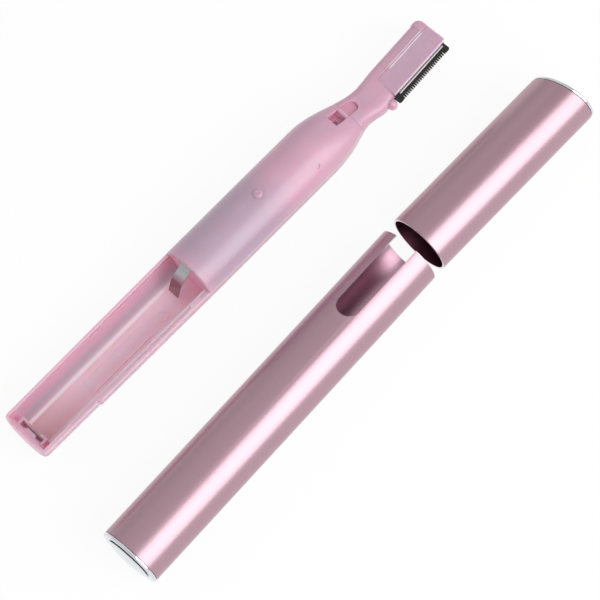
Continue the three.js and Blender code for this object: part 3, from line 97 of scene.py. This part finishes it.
# Finishes, as linear colours
WHITE = (1, 1, 1, 1)
PEARL_PINK = (0.670, 0.395, 0.500, 1)
PEARL_LILAC = (0.615, 0.380, 0.490, 1)
# Painted shade, a deeper pink in creases, then the colour of a painted glow for light through the plastic
PEARL_CREASE_SHADE = (0.720, 0.280, 0.385, 1)
PEARL_GLOW = (0.130, 0.040, 0.060, 1)
PEARL_GLOSS = (0.85, 1.0, 1.0, 1)
PLATE_LILAC = (0.560, 0.375, 0.485, 1)
# Painted shadow of the motor, seen through the cover
MOTOR_SHADOW = (0.480, 0.360, 0.460, 1)
# Painted light on the bay floor, and painted shade towards the lower contact
BAY_LIT_PINK = (0.900, 0.640, 0.720, 1)
BAY_SHADE_BROWN = (0.620, 0.370, 0.410, 1)
# Painted light: a lighter copy of the pearl plastic for the bulkhead, which lies in the cover's shade
WALL_LIT_PINK = (0.850, 0.560, 0.660, 1)
WALL_LIT_LILAC = (0.810, 0.550, 0.650, 1)
# Painted reflection of the shaded right wall, on the left wall
WALL_SHADE_GREY = (0.480, 0.390, 0.460, 1)
# Painted highlight along the plate's edges and its seat
SEAM_HIGHLIGHT = (0.900, 0.840, 0.890, 1)
# Painted shade in the switch slot's recess
POCKET_SHADE_RED = (0.860, 0.350, 0.470, 1)
# Painted sheen on the top of the bay's rim
RIM_SHEEN_LILAC = (0.730, 0.550, 0.625, 1)
# Painted highlight on the bay's crease and marks
CREASE_HIGHLIGHT = (0.860, 0.780, 0.830, 1)
# Painted shade on the slider's flat
SLIDER_SHADE_PINK = (0.600, 0.270, 0.380, 1)
ROSE = (0.265, 0.072, 0.132, 1)
ROSE_PALE = (0.265, 0.095, 0.155, 1)
ROSE_EDGE = (0.80, 0.40, 0.50, 1)
# Bores: painted light in the sleeve's, painted shade in the cap's
BORE_LIT_ROSE = (0.600, 0.370, 0.460, 1)
BORE_SHADE_MAROON = (0.300, 0.100, 0.160, 1)
BARE_METAL = (0.90, 0.86, 0.88, 1)
CHROME = (0.72, 0.73, 0.77, 1)
STEEL = (0.48, 0.49, 0.50, 1)
# Painted shade: a darker reddish copy of the steel for the lower contact in its slit
SLIT_SHADE_STEEL = (0.26, 0.20, 0.20, 1)
# Painted shade on the bent leaf's lower end
TOE_SHADE_RED = (0.36, 0.20, 0.22, 1)
BRIGHT_STEEL = (0.93, 0.93, 0.95, 1)
STRIP_SHADOW = (0.30, 0.26, 0.27, 1)
BLACK = (0.060, 0.052, 0.052, 1)
BLACK_EDGE = (0.60, 0.58, 0.56, 1)
ZINC = (0.40, 0.41, 0.43, 1)
FERRITE = (0.035, 0.035, 0.038, 1)
COPPER = (0.45, 0.16, 0.05, 1)
COPPER_DARK = (0.16, 0.05, 0.02, 1)
NYLON = (0.76, 0.74, 0.68, 1)
BRASS = (0.50, 0.33, 0.09, 1)

# Pearl plastic: sizes of its clouds, flakes and peel, reach of its painted crease shade and of the light in
# it
PEARL_CLOUD = 7 * MM
PEARL_STRETCH = 2.2
FLAKE_SIZE = 0.06 * MM
PEEL_SIZE = 0.9 * MM
PEEL_DEPTH = 0.003 * MM
CREASE_SHADE_REACH = 1.6 * MM
CREASE_SHADE_RANGE = (0.02, 0.45)
PEARL_LIGHT_REACH = 1.3 * MM

# Grain of the metals: its size, how far it is drawn out along X, and its depth
DRAWN = {"grain": 0.08 * MM, "stretch": 8, "depth": 0.004 * MM}
GROUND = {"grain": 0.08 * MM, "stretch": 8, "depth": 0.002 * MM}
BLACKENED = {"grain": 0.10 * MM, "stretch": 3, "depth": 0.004 * MM}
PRESSED = {"grain": 0.15 * MM, "stretch": 4, "depth": 0.004 * MM}
TURNED = {"grain": 0.10 * MM, "stretch": 6, "depth": 0.004 * MM}
BORED = {"grain": 0.30 * MM, "stretch": 6, "depth": 0.001 * MM}
CUT = {"grain": 0.10 * MM, "stretch": 1, "depth": 0.001 * MM}
POLISHED = {"grain": 0.02 * MM, "stretch": 1, "depth": 0}
ANODISED_GRAIN = 0.05 * MM
ANODISED_STRETCH = 14
ANODISED_DEPTH = 0.0002 * MM
ANODISED_CLOUD = 12 * MM
METAL_CLOUD = 9 * MM
METAL_DIMMED = 0.82
METAL_VARIES = 0.03

# Inner plastic and winding
PLASTIC_CLOUD = 2 * MM
PLASTIC_DIMMED = 0.75
PLASTIC_VARIES = 0.08
PLASTIC_SHEEN = 0.2 * MM
PLASTIC_PEEL = 0.3 * MM
PLASTIC_PEEL_DEPTH = 0.005 * MM
TURN_SCALE = 700
TURN_DEPTH = 0.1 * MM

# Switch slot: painted deep pink shade from behind the slider to under it, and the end of the slider's pale
# ridge, where its painted shade begins
POCKET_LENGTH = 4 * MM
POCKET_UNDER = 1 * MM
POCKET_MARGIN = 0.3 * MM
POCKET_DEPTH = (-1.5 * MM, -0.9 * MM)
RIDGE_END = (1.3 * MM, 1.6 * MM)

# Painted highlight and shadow lines along the head, as distances outside the plate's left edge or inside its
# right edge
LINE_SOFT = 0.06 * MM
PLATE_BEAD = (-0.28 * MM, -0.03 * MM)
SEAT_LINE = (0.25 * MM, 0.50 * MM)
SEAM_START = 4 * MM
SEAM_END = 2.3 * MM
SEAM_SOFT = 0.5 * MM
RIGHT_LINE = (0, 0.25 * MM)
STRIP_LINE = (-0.26 * MM, 0.6 * MM)

# Painted shadow of the motor seen through the cover, and painted shade on the leaf's lower end
MOTOR_BEHIND = 6 * MM
MOTOR_SHORT = 2 * MM
MOTOR_SOFT = 4 * MM
TOE_END = (1.6 * MM, 2.1 * MM)

# Painted glow: emission that stands in for light coming through the plastic, as shares of PEARL_GLOW
NO_GLOW = 0.0
SLIDER_GLOW = 0.35
BAY_GLOW = 0.6
CORNER_GLOW = 1.3
WALL_GLOW = 1.0

# Battery bay's painted light and shade: heights from the casing's axis, distances from that axis and to its
# left
BAY_WALL = (5.75 * MM, 5.95 * MM)
BAY_FLOOR_HALF = 2.62 * MM
BAY_FLOOR_TOP = (-4.7 * MM, -3.0 * MM)
BROWN_LENGTH = 14 * MM
GREY_HEIGHTS = (-4.45 * MM, -3.1 * MM)
GREY_START = (2.6 * MM, 3.2 * MM)
CREASE_HEIGHTS = (-5.1 * MM, -4.62 * MM)
MARK_HEIGHTS = (-4.97 * MM, -4.78 * MM)
RIM_HEIGHTS = (0.5 * MM, 1.4 * MM)
RIM_START = (4.5 * MM, 4.8 * MM)
CORNER_END = (-0.2 * MM, 1.2 * MM)
CORNER_TOP = (-1.2 * MM, 0)

# The record's slots, bodies and joints, and directions and edges that follow from them
SLOT_OF = {part["node"]: part["material_slot"] for part in frame["record"]["subparts"]}
BODY_OF = {
    node: body
    for body, members in frame["record"]["behaviour"]["bodies"].items()
    for node in members
}
JOINTS = {joint["name"]: joint for joint in frame["record"]["behaviour"]["joints"]}
CASING_AXIS = Vector(JOINTS["rotor_spin"]["pos_m"])
CASING_UP = Vector(JOINTS["lever_rock"]["axis"])
CASING_LEFT = CASING_UP.cross(Vector((1, 0, 0)))
HEAD_LEFT = CASING_UP.cross(Vector(JOINTS["cutter_slide"]["axis"]))
PLATE_LOW, PLATE_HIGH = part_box("blade_cover")
PLATE_LEFT = PLATE_HIGH.dot(HEAD_LEFT)
PLATE_RIGHT = Vector((PLATE_LOW.x, PLATE_LOW.y, PLATE_HIGH.z)).dot(HEAD_LEFT)


# Shader helpers

def add(tree, kind, inputs=None, **settings):
    """Adds one shader node. A socket given as an input is linked, anything else is set."""
    made = tree.nodes.new("ShaderNode" + kind)
    for name, value in settings.items():
        setattr(made, name, value)
    for name, value in (inputs or {}).items():
        give(tree, made.inputs[name], value)
    return made


def give(tree, socket, value):
    """Links another socket to a socket, or sets its value."""
    if isinstance(value, bpy.types.NodeSocket):
        tree.links.new(value, socket)
    else:
        socket.default_value = value


def connect(tree, shader, **inputs):
    """Sets or links inputs of the main shader, named with _ for each space."""
    for name, value in inputs.items():
        give(tree, shader.inputs[name.replace("_", " ")], value)


def calculated(tree, operation, first, second):
    """Result of one Math operation on two values."""
    return add(tree, "Math", {0: first, 1: second}, operation=operation).outputs[0]


def times(tree, *shares):
    """Product of shares."""
    product = shares[0]
    for share in shares[1:]:
        product = calculated(tree, "MULTIPLY", product, share)
    return product


def spread(tree, value, low, high, start=0.3, end=0.7):
    """Maps start..end of a value to low..high. Noise keeps to about 0.3..0.7."""
    made = add(tree, "MapRange", {
        "Value": value, "From Min": start, "From Max": end, "To Min": low, "To Max": high,
    })
    return made.outputs["Result"]


def band(tree, value, start, end, soft):
    """1 between two values, with each end softened over that distance to either side."""
    rise = spread(tree, value, 0, 1, start - soft, start + soft)
    fall = spread(tree, value, 1, 0, end - soft, end + soft)
    return times(tree, rise, fall)


def axis_value(tree, place, axis):
    """One coordinate of a place, in metres."""
    return add(tree, "SeparateXYZ", {"Vector": place}).outputs[axis]


def along_direction(tree, vector, direction):
    """How far a vector goes along a direction."""
    return add(tree, "VectorMath", {0: vector, 1: direction}, operation="DOT_PRODUCT").outputs["Value"]


def noise(tree, place, size, detail=2.0, stretch=None):
    """Noise from 0 to 1 with features of about that size in metres, drawn out along X by stretch."""
    if stretch:
        place = add(tree, "Mapping", {"Vector": place, "Scale": (1 / stretch, 1, 1)}).outputs["Vector"]
    made = add(tree, "TexNoise", {"Vector": place, "Scale": 1 / size, "Detail": detail})
    return made.outputs["Fac"]


def mixed(tree, share, first, second):
    """Colour between two colours."""
    made = add(tree, "Mix", {"Factor": share}, data_type="RGBA")
    give(tree, made.inputs[6], first)
    give(tree, made.inputs[7], second)
    return made.outputs[2]


def painted(tree, colour, paint, *shares, strength=1.0):
    """Colour with a paint over it, by the product of shares and a strength."""
    return mixed(tree, times(tree, *shares, strength), colour, paint)


def dimmed(colour, level):
    """A darker colour."""
    return tuple(level * part for part in colour[:3]) + (1,)


def bump(tree, height, distance):
    """Normal from a height of 0 to 1 that stands for that distance in metres."""
    return add(tree, "Bump", {"Height": height, "Distance": distance, "Strength": 1.0}).outputs["Normal"]


# Changes of colour on the plastic, painted light and shade. A shade returns the new colour and the share of a
# painted glow that stands in for light through the wall.

def pocket_shade(tree, place, colour):
    """Painted shade: deep pink in the recess at the open end of the switch slot."""
    low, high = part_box("switch_slider")
    along = band(
        tree, axis_value(tree, place, "X"), low.x - POCKET_LENGTH, low.x + POCKET_UNDER, soft=0.3 * MM,
    )
    across = band(
        tree, axis_value(tree, place, "Y"), low.y - POCKET_MARGIN, high.y + POCKET_MARGIN, soft=0.1 * MM,
    )
    bottom, top = (high.z + depth for depth in POCKET_DEPTH)
    below = spread(tree, axis_value(tree, place, "Z"), 1, 0, bottom, top)
    return painted(tree, colour, POCKET_SHADE_RED, along, across, below, strength=0.9), NO_GLOW


def head_line(tree, place, edge, distances):
    """1 on a line along the head, between two distances to the left of an edge."""
    start, end = distances
    return band(tree, along_direction(tree, place, HEAD_LEFT), edge + start, edge + end, soft=LINE_SOFT)


def seam_line(tree, place, distances):
    """1 on a line along most of the plate's left edge, between two distances outside it."""
    length = band(
        tree, axis_value(tree, place, "X"), PLATE_LOW.x + SEAM_START, PLATE_HIGH.x - SEAM_END, soft=SEAM_SOFT,
    )
    return times(tree, head_line(tree, place, PLATE_LEFT, distances), length)


def plate_shade(tree, place, colour):
    """Painted highlights: a pale bead along the plate's left edge, and a pale right edge."""
    colour = painted(tree, colour, SEAM_HIGHLIGHT, seam_line(tree, place, PLATE_BEAD), strength=0.9)
    right = head_line(tree, place, PLATE_RIGHT, RIGHT_LINE)
    return painted(tree, colour, SEAM_HIGHLIGHT, right, strength=0.6), NO_GLOW


def head_shade(tree, place, colour):
    """Painted highlight on the edge of the plate's seat, and the switch slot's painted shade."""
    colour = painted(tree, colour, SEAM_HIGHLIGHT, seam_line(tree, place, SEAT_LINE), strength=0.6)
    return pocket_shade(tree, place, colour)


def motor_shade(tree, place, colour):
    """Painted shadow of the motor can, seen through the cover, and the switch slot's painted shade."""
    colour, glow = pocket_shade(tree, place, colour)
    low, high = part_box("motor_can")
    over_motor = band(
        tree, axis_value(tree, place, "X"), low.x - MOTOR_BEHIND, high.x - MOTOR_SHORT, soft=MOTOR_SOFT,
    )
    return painted(tree, colour, MOTOR_SHADOW, over_motor, strength=0.8), glow


def bay_shade(tree, place, colour):
    """Painted light and shade in the bay: a paler floor, browner shade towards the lower contact, a grey band
    of painted reflection on the left wall, a painted highlight on the crease beside the floor and fainter on
    the marks, and painted sheen on the rim. A painted glow lights the floor and the contact's corners."""
    contact_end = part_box("lower_contact")[1].x
    along = axis_value(tree, place, "X")
    from_axis = add(tree, "Mapping", {
        "Vector": place, "Scale": (0, 1, 1), "Location": (0, -CASING_AXIS.y, -CASING_AXIS.z),
    }).outputs["Vector"]
    away = add(tree, "VectorMath", {0: from_axis}, operation="LENGTH").outputs["Value"]
    height = along_direction(tree, from_axis, CASING_UP)
    left = along_direction(tree, from_axis, CASING_LEFT)
    inside = spread(tree, away, 1, 0, *BAY_WALL)
    flat = band(tree, left, -BAY_FLOOR_HALF, BAY_FLOOR_HALF, soft=0.05 * MM)
    deep = spread(tree, height, 1, 0, *BAY_FLOOR_TOP)

    # Painted light on the floor, with browner painted shade towards the lower contact
    near_contact = spread(tree, along, 1, 0, contact_end, contact_end + BROWN_LENGTH)
    floor_colour = painted(tree, BAY_LIT_PINK, BAY_SHADE_BROWN, near_contact, strength=0.9)
    colour = painted(tree, colour, floor_colour, inside, deep)
    # Painted reflection of the shaded right wall, a grey band on the left wall
    left_wall = spread(tree, left, 0, 1, *GREY_START)
    grey = band(tree, height, *GREY_HEIGHTS, soft=0.3 * MM)
    colour = painted(tree, colour, WALL_SHADE_GREY, inside, left_wall, grey, strength=0.75)
    # Painted highlight on the crease beside the floor, and fainter on the raised marks
    beside = spread(tree, flat, 1, 0, 0, 1)
    crease = band(tree, height, *CREASE_HEIGHTS, soft=0.1 * MM)
    colour = painted(tree, colour, CREASE_HIGHLIGHT, inside, beside, crease, strength=0.8)
    marks = band(tree, height, *MARK_HEIGHTS, soft=0.03 * MM)
    colour = painted(tree, colour, CREASE_HIGHLIGHT, inside, marks, flat, strength=0.3)
    # Painted sheen on the rim's top
    outer = spread(tree, away, 0, 1, *RIM_START)
    rim = band(tree, height, *RIM_HEIGHTS, soft=0.15 * MM)
    colour = painted(tree, colour, RIM_SHEEN_LILAC, outer, rim, strength=0.7)

    # Painted glow on the floor and in the contact's corners
    floor_glow = times(tree, inside, deep, flat, BAY_GLOW)
    start, end = (contact_end + distance for distance in CORNER_END)
    in_corners = spread(tree, along, 1, 0, start, end)
    under_rim = spread(tree, height, 1, 0, *CORNER_TOP)
    corner_glow = times(tree, inside, in_corners, under_rim, CORNER_GLOW)
    return colour, calculated(tree, "MAXIMUM", floor_glow, corner_glow)


def slider_shade(tree, place, colour):
    """Painted shade: deeper pink on the flat behind the pale ridge at the slider's battery end, and a painted
    glow.
    """
    start, end = (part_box("switch_slider")[0].x + distance for distance in RIDGE_END)
    flat = spread(tree, axis_value(tree, place, "X"), 0, 1, start, end)
    return painted(tree, colour, SLIDER_SHADE_PINK, flat, strength=0.8), SLIDER_GLOW


# Changes of colour on the metals: painted shadow and shade

def strip_shade(tree, place, colour):
    """Shadow of the plate's edge on the bright strip."""
    return painted(tree, colour, STRIP_SHADOW, head_line(tree, place, PLATE_RIGHT, STRIP_LINE))


def toe_shade(tree, place, colour):
    """Painted reddish shade and reflection of the pink bay on the lower end of the bent leaf, which faces
    down.
    """
    start, end = (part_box("upper_contact")[0].x + distance for distance in TOE_END)
    toe = spread(tree, axis_value(tree, place, "X"), 1, 0, start, end)
    return painted(tree, colour, TOE_SHADE_RED, toe, strength=0.9)


# Finishes, by name

FINISHES = {}


def new_material(name):
    """A material with a Principled shader, kept in FINISHES, and the object's own coordinates to draw on."""
    material = FINISHES[name] = bpy.data.materials.new(name)
    material.use_nodes = True
    tree = material.node_tree
    return tree, tree.nodes["Principled BSDF"], add(tree, "TexCoord").outputs["Object"]


def pearl_plastic(name, pink, lilac, tint=None, glow=NO_GLOW, crease_shade=0.6):
    """Pearlescent moulded plastic, a little see-through. tint is one more change to its colour, which paints
    light and shade, glow is the share of a painted glow that stands in for light through the wall without it,
    and the last argument sets how deep the painted pink shade gets in corners, where the painted glow grows
    too."""
    tree, shader, place = new_material(name)
    cloud = noise(tree, place, PEARL_CLOUD, detail=3, stretch=PEARL_STRETCH)
    colour = mixed(tree, spread(tree, cloud, low=0, high=1, start=0.35, end=0.65), pink, lilac)
    if tint:
        colour, glow = tint(tree, place, colour)
    # Painted crease shade: deeper pink where ambient occlusion finds corners, with more painted glow there
    occlusion = add(tree, "AmbientOcclusion", {"Distance": CREASE_SHADE_REACH}, samples=8, only_local=False)
    depth = spread(tree, occlusion.outputs["AO"], crease_shade, 0, *CREASE_SHADE_RANGE)
    connect(
        tree, shader,
        Base_Color=mixed(tree, depth, colour, PEARL_CREASE_SHADE),
        Roughness=spread(tree, noise(tree, place, FLAKE_SIZE, detail=1), low=0.34, high=0.40),
        Specular_IOR_Level=0.7,
        Specular_Tint=PEARL_GLOSS,
        Normal=bump(tree, noise(tree, place, PEEL_SIZE), PEEL_DEPTH),
        Subsurface_Weight=1.0,
        Subsurface_Radius=(1.0, 0.35, 0.5),
        Subsurface_Scale=PEARL_LIGHT_REACH,
        Coat_Weight=0.2,
        Coat_Roughness=0.3,
        # Painted glow from the crease shade and the glow share
        Emission_Color=PEARL_GLOW,
        Emission_Strength=calculated(tree, "ADD", depth, glow),
    )


def rose_aluminium(name):
    """Satin anodised tube: rose colour under a clear, bright layer."""
    tree, shader, place = new_material(name)
    lines = noise(tree, place, ANODISED_GRAIN, detail=3, stretch=ANODISED_STRETCH)
    cloud = spread(tree, noise(tree, place, ANODISED_CLOUD), low=0, high=0.2)
    connect(
        tree, shader,
        Base_Color=mixed(tree, cloud, ROSE, ROSE_PALE),
        Metallic=0.65,
        Specular_Tint=ROSE_EDGE,
        Roughness=spread(tree, lines, low=0.32, high=0.36),
        Normal=bump(tree, lines, ANODISED_DEPTH),
        Coat_Weight=1.0,
        Coat_IOR=2.8,
        Coat_Roughness=0.30,
    )


def satin_metal(name, colour, roughness, grain, stretch, depth, edge=WHITE, shade=None):
    """Metal with fine grain drawn out along X. edge is its colour at a glancing angle, and shade one more
    change to its colour."""
    tree, shader, place = new_material(name)
    lines = noise(tree, place, grain, detail=3, stretch=stretch)
    cloud = spread(tree, noise(tree, place, METAL_CLOUD), low=0, high=0.12)
    base = mixed(tree, cloud, colour, dimmed(colour, METAL_DIMMED))
    if shade:
        base = shade(tree, place, base)
    connect(
        tree, shader,
        Base_Color=base,
        Metallic=1.0,
        Specular_Tint=edge,
        Roughness=spread(tree, lines, roughness - METAL_VARIES, roughness + METAL_VARIES),
    )
    if depth:
        connect(tree, shader, Normal=bump(tree, lines, depth))


def mixed_plastic(name, colour, roughness):
    """Plain moulded plastic for the inner pieces."""
    tree, shader, place = new_material(name)
    cloud = spread(tree, noise(tree, place, PLASTIC_CLOUD), low=0, high=0.2)
    sheen = noise(tree, place, PLASTIC_SHEEN)
    connect(
        tree, shader,
        Base_Color=mixed(tree, cloud, colour, dimmed(colour, PLASTIC_DIMMED)),
        Roughness=spread(tree, sheen, roughness - PLASTIC_VARIES, roughness + PLASTIC_VARIES),
        Normal=bump(tree, noise(tree, place, PLASTIC_PEEL), PLASTIC_PEEL_DEPTH),
    )


def winding(name):
    """Copper wire laid in turns round the armature."""
    tree, shader, place = new_material(name)
    turns = add(tree, "TexWave", {
        "Vector": place, "Scale": TURN_SCALE, "Distortion": 0.6,
    }).outputs["Fac"]
    connect(
        tree, shader,
        Base_Color=mixed(tree, turns, COPPER_DARK, COPPER),
        Metallic=0.9,
        Roughness=0.35,
        Normal=bump(tree, turns, TURN_DEPTH),
    )


pearl_plastic("pearl_plastic", PEARL_PINK, PEARL_LILAC)
pearl_plastic("pearl_cover", PEARL_PINK, PEARL_LILAC, motor_shade)
pearl_plastic("pearl_bay", PEARL_PINK, PEARL_LILAC, bay_shade, crease_shade=0.2)
pearl_plastic("pearl_head", PEARL_PINK, PEARL_LILAC, head_shade)
# Painted light on the bulkhead: lighter pinks and a painted glow
pearl_plastic("pearl_wall_lit", WALL_LIT_PINK, WALL_LIT_LILAC, glow=WALL_GLOW)
pearl_plastic("pearl_slider", PEARL_PINK, PEARL_LILAC, slider_shade)
pearl_plastic("pearl_plate", PEARL_LILAC, PLATE_LILAC, plate_shade)
rose_aluminium("rose_aluminium")
# Painted light in the sleeve's bore, painted shade in the cap's
satin_metal("tube_bore_lit", BORE_LIT_ROSE, roughness=0.33, **BORED, edge=ROSE_EDGE)
satin_metal("cap_bore_shaded", BORE_SHADE_MAROON, roughness=0.33, **BORED, edge=ROSE_EDGE)
satin_metal("tube_lip", BARE_METAL, roughness=0.35, **CUT)
satin_metal("bright_plug", CHROME, roughness=0.15, **POLISHED)
satin_metal("leaf_steel", STEEL, roughness=0.22, **DRAWN, shade=toe_shade)
# Painted shade on the lower contact in its slit
satin_metal("steel_in_slit_shade", SLIT_SHADE_STEEL, roughness=0.30, **DRAWN)
satin_metal("spring_steel", STEEL, roughness=0.30, **DRAWN)
satin_metal("bright_steel", BRIGHT_STEEL, roughness=0.36, **GROUND, shade=strip_shade)
satin_metal("black_steel", BLACK, roughness=0.38, **BLACKENED, edge=BLACK_EDGE)
satin_metal("motor_steel", ZINC, roughness=0.36, **PRESSED)
mixed_plastic("ferrite", FERRITE, roughness=0.7)
winding("copper")
mixed_plastic("nylon", NYLON, roughness=0.5)
satin_metal("brass", BRASS, roughness=0.32, **TURNED)


# Pieces

# The finish of each tube's bore, lighter in the sleeve for painted light through its slot and darker in the
# cap for painted shade, and the joint that slides along its axis
TUBES = {"sleeve_tube": ("tube_bore_lit", "sleeve_slide"), "cap_tube": ("cap_bore_shaded", "cap_slide")}
CROWNED = ("sleeve_plug", "cap_plug")

# The edge radius of each visible piece, and its finish where that isn't named as its slot
REFINED = {
    "rear_shell": (MOULDED_EDGE, "pearl_bay"),
    "front_cover": (MOULDED_EDGE, "pearl_cover"),
    "head_frame": (MOULDED_EDGE, "pearl_head"),
    "blade_cover": (PLATE_EDGE, "pearl_plate"),
    "contact_bulkhead": (WALL_EDGE, "pearl_wall_lit"),
    "switch_slider": (MOULDED_EDGE, "pearl_slider"),
    "lower_contact": (SHEET_EDGE, "steel_in_slit_shade"),
    "upper_contact": (SHEET_EDGE, "leaf_steel"),
    "retaining_strip": (BLADE_EDGE, "bright_steel"),
    "fixed_comb": (BLADE_EDGE, None),
    "moving_blade": (BLADE_EDGE, None),
    "sleeve_tube": (TUBE_EDGE, None),
    "sleeve_plug": (PLUG_EDGE, None),
    "cap_tube": (TUBE_EDGE, None),
    "cap_plug": (PLUG_EDGE, None),
}


def smoothed_mesh(node):
    """A copy of a solid's mesh with its facets merged and its faces shaded smooth."""
    work = bmesh.new()
    work.from_mesh(frame["nodes"][node].data)
    bmesh.ops.remove_doubles(work, verts=work.verts, dist=WELD)
    bmesh.ops.dissolve_limit(work, angle_limit=FLAT_ANGLE, verts=work.verts, edges=work.edges)
    bmesh.ops.dissolve_degenerate(work, dist=SHORT_EDGE, edges=work.edges)
    mesh = bpy.data.meshes.new(node + "_mesh")
    work.to_mesh(mesh)
    work.free()
    mesh.polygons.foreach_set("use_smooth", [True] * len(mesh.polygons))
    return mesh


def round_edges(piece, radius):
    """Rounds a piece's sharp edges, up to what its shortest edges allow."""
    rounding = piece.modifiers.new("round_edges", "BEVEL")
    rounding.width = radius
    rounding.segments = EDGE_STEPS
    rounding.limit_method = "ANGLE"
    rounding.angle_limit = SHARP_ANGLE


def smooth_shading(piece, crowned):
    """Smooths a crowned face by finer faces, and any other piece by normals that follow its large faces."""
    if crowned:
        smoothing = piece.modifiers.new("smooth_crown", "SUBSURF")
        smoothing.levels = smoothing.render_levels = CROWN_STEPS
    else:
        smoothing = piece.modifiers.new("even_shading", "WEIGHTED_NORMAL")
        smoothing.mode = "FACE_AREA"
        smoothing.weight = EVEN_WEIGHT


def finish_tube(mesh, axis):
    """Gives the second material to the faces that look towards a line along axis through the middle,
    and the third to the cut faces of the mouth and slot."""
    points = [vertex.co for vertex in mesh.vertices]
    low = Vector([min(point[i] for point in points) for i in range(3)])
    high = Vector([max(point[i] for point in points) for i in range(3)])
    for face in mesh.polygons:
        out = face.center - (low + high) / 2
        out -= axis * out.dot(axis)
        outwards = face.normal.dot(out.normalized())
        if outwards < -FACING:
            face.material_index = 1
        elif outwards < FACING:
            face.material_index = 2


def refined(node, edge_radius, finish):
    """A finished copy of a solid, in its place."""
    mesh = smoothed_mesh(node)
    piece = bpy.data.objects.new(node + "_finished", mesh)
    bpy.context.scene.collection.objects.link(piece)
    round_edges(piece, edge_radius)
    smooth_shading(piece, node in CROWNED)
    mesh.materials.clear()
    mesh.materials.append(FINISHES[finish or SLOT_OF[node]])
    if node in TUBES:
        bore, joint = TUBES[node]
        mesh.materials.append(FINISHES[bore])
        mesh.materials.append(FINISHES["tube_lip"])
        finish_tube(mesh, Vector(JOINTS[joint]["axis"]))
    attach(piece, BODY_OF[node])
    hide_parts(node)


for refined_node, (radius, chosen) in REFINED.items():
    refined(refined_node, radius, chosen)

for inner_node, inner in frame["nodes"].items():
    if inner_node not in REFINED:
        inner.data.materials.clear()
        inner.data.materials.append(FINISHES[SLOT_OF[inner_node]])


# Floor, light and camera

def make_floor():
    """Pale floor that looks white and still takes the object's shadow."""
    half = FLOOR_HALF_SIZE
    corners = [(-half, -half, 0), (half, -half, 0), (half, half, 0), (-half, half, 0)]
    mesh = bpy.data.meshes.new("floor")
    mesh.from_pydata(corners, [], [(0, 1, 2, 3)])
    floor = bpy.data.objects.new("floor", mesh)
    bpy.context.scene.collection.objects.link(floor)
    material = bpy.data.materials.new("floor")
    material.use_nodes = True
    tree = material.node_tree
    tree.nodes.clear()
    rays = add(tree, "LightPath").outputs
    seen = rays["Is Camera Ray"]
    for kind in ("Is Glossy Ray", "Is Transmission Ray"):
        seen = calculated(tree, "MAXIMUM", seen, rays[kind])
    lit = add(tree, "BsdfDiffuse", {"Color": FLOOR_COLOUR})
    white = add(tree, "Emission", {"Color": WHITE, "Strength": 1.0})
    both = add(tree, "MixShader", {
        0: times(tree, seen, FLOOR_WHITENESS), 1: lit.outputs[0], 2: white.outputs[0],
    })
    add(tree, "OutputMaterial", {"Surface": both.outputs[0]})
    mesh.materials.append(material)


def make_sky():
    """Soft studio surround, brighter overhead, with a dark gap at each end."""
    world = bpy.data.worlds.new("studio")
    bpy.context.scene.world = world
    world.use_nodes = True
    tree = world.node_tree
    tree.nodes.clear()
    direction = add(tree, "TexCoord").outputs["Generated"]
    across = axis_value(tree, direction, "Y")
    up = axis_value(tree, direction, "Z")
    along = add(tree, "Math", {0: axis_value(tree, direction, "X")}, operation="ABSOLUTE").outputs[0]
    gap = times(
        tree,
        band(tree, along, *GAP_ALONG, GAP_ALONG_SOFT),
        spread(tree, up, 0, 1, *GAP_FOOT),
        band(tree, across, -GAP_SIDE, GAP_SIDE, GAP_SIDE_SOFT),
    )
    level = times(
        tree,
        spread(tree, across, SKY_RIGHT, SKY_LEFT, -SKY_SIDE, SKY_SIDE),
        spread(tree, gap, 1, SKY_GAP, 0, 1),
        spread(tree, up, SKY_LOW, SKY_TOP, *SKY_RISE),
    )
    surround = add(tree, "Background", {"Color": WHITE, "Strength": level})
    add(tree, "OutputWorld", {"Surface": surround.outputs[0]})


def aim(thing, place, target):
    """Puts a lamp or camera at a place, looking at a target."""
    bpy.context.scene.collection.objects.link(thing)
    thing.location = place
    thing.rotation_mode = "QUATERNION"
    thing.rotation_quaternion = (target - place).to_track_quat("-Z", "Y")


def make_key():
    """Wide soft panel that draws the long highlight on the tubes."""
    data = bpy.data.lights.new("key", "AREA")
    data.shape = "RECTANGLE"
    data.size, data.size_y = KEY_SIZE
    data.energy = KEY_POWER
    aim(bpy.data.objects.new("key", data), KEY_PLACE, Vector((0, 0, 0)))


def make_camera():
    """Camera at the photograph's viewing angle."""
    data = bpy.data.cameras.new("camera")
    data.lens = CAMERA_LENS
    data.clip_start, data.clip_end = CAMERA_CLIP
    camera = bpy.data.objects.new("camera", data)
    aim(camera, CAMERA_PLACE, CAMERA_TARGET)
    bpy.context.scene.camera = camera


make_floor()
make_sky()
make_key()
make_camera()
bpy.context.scene.view_settings.view_transform = "Standard"
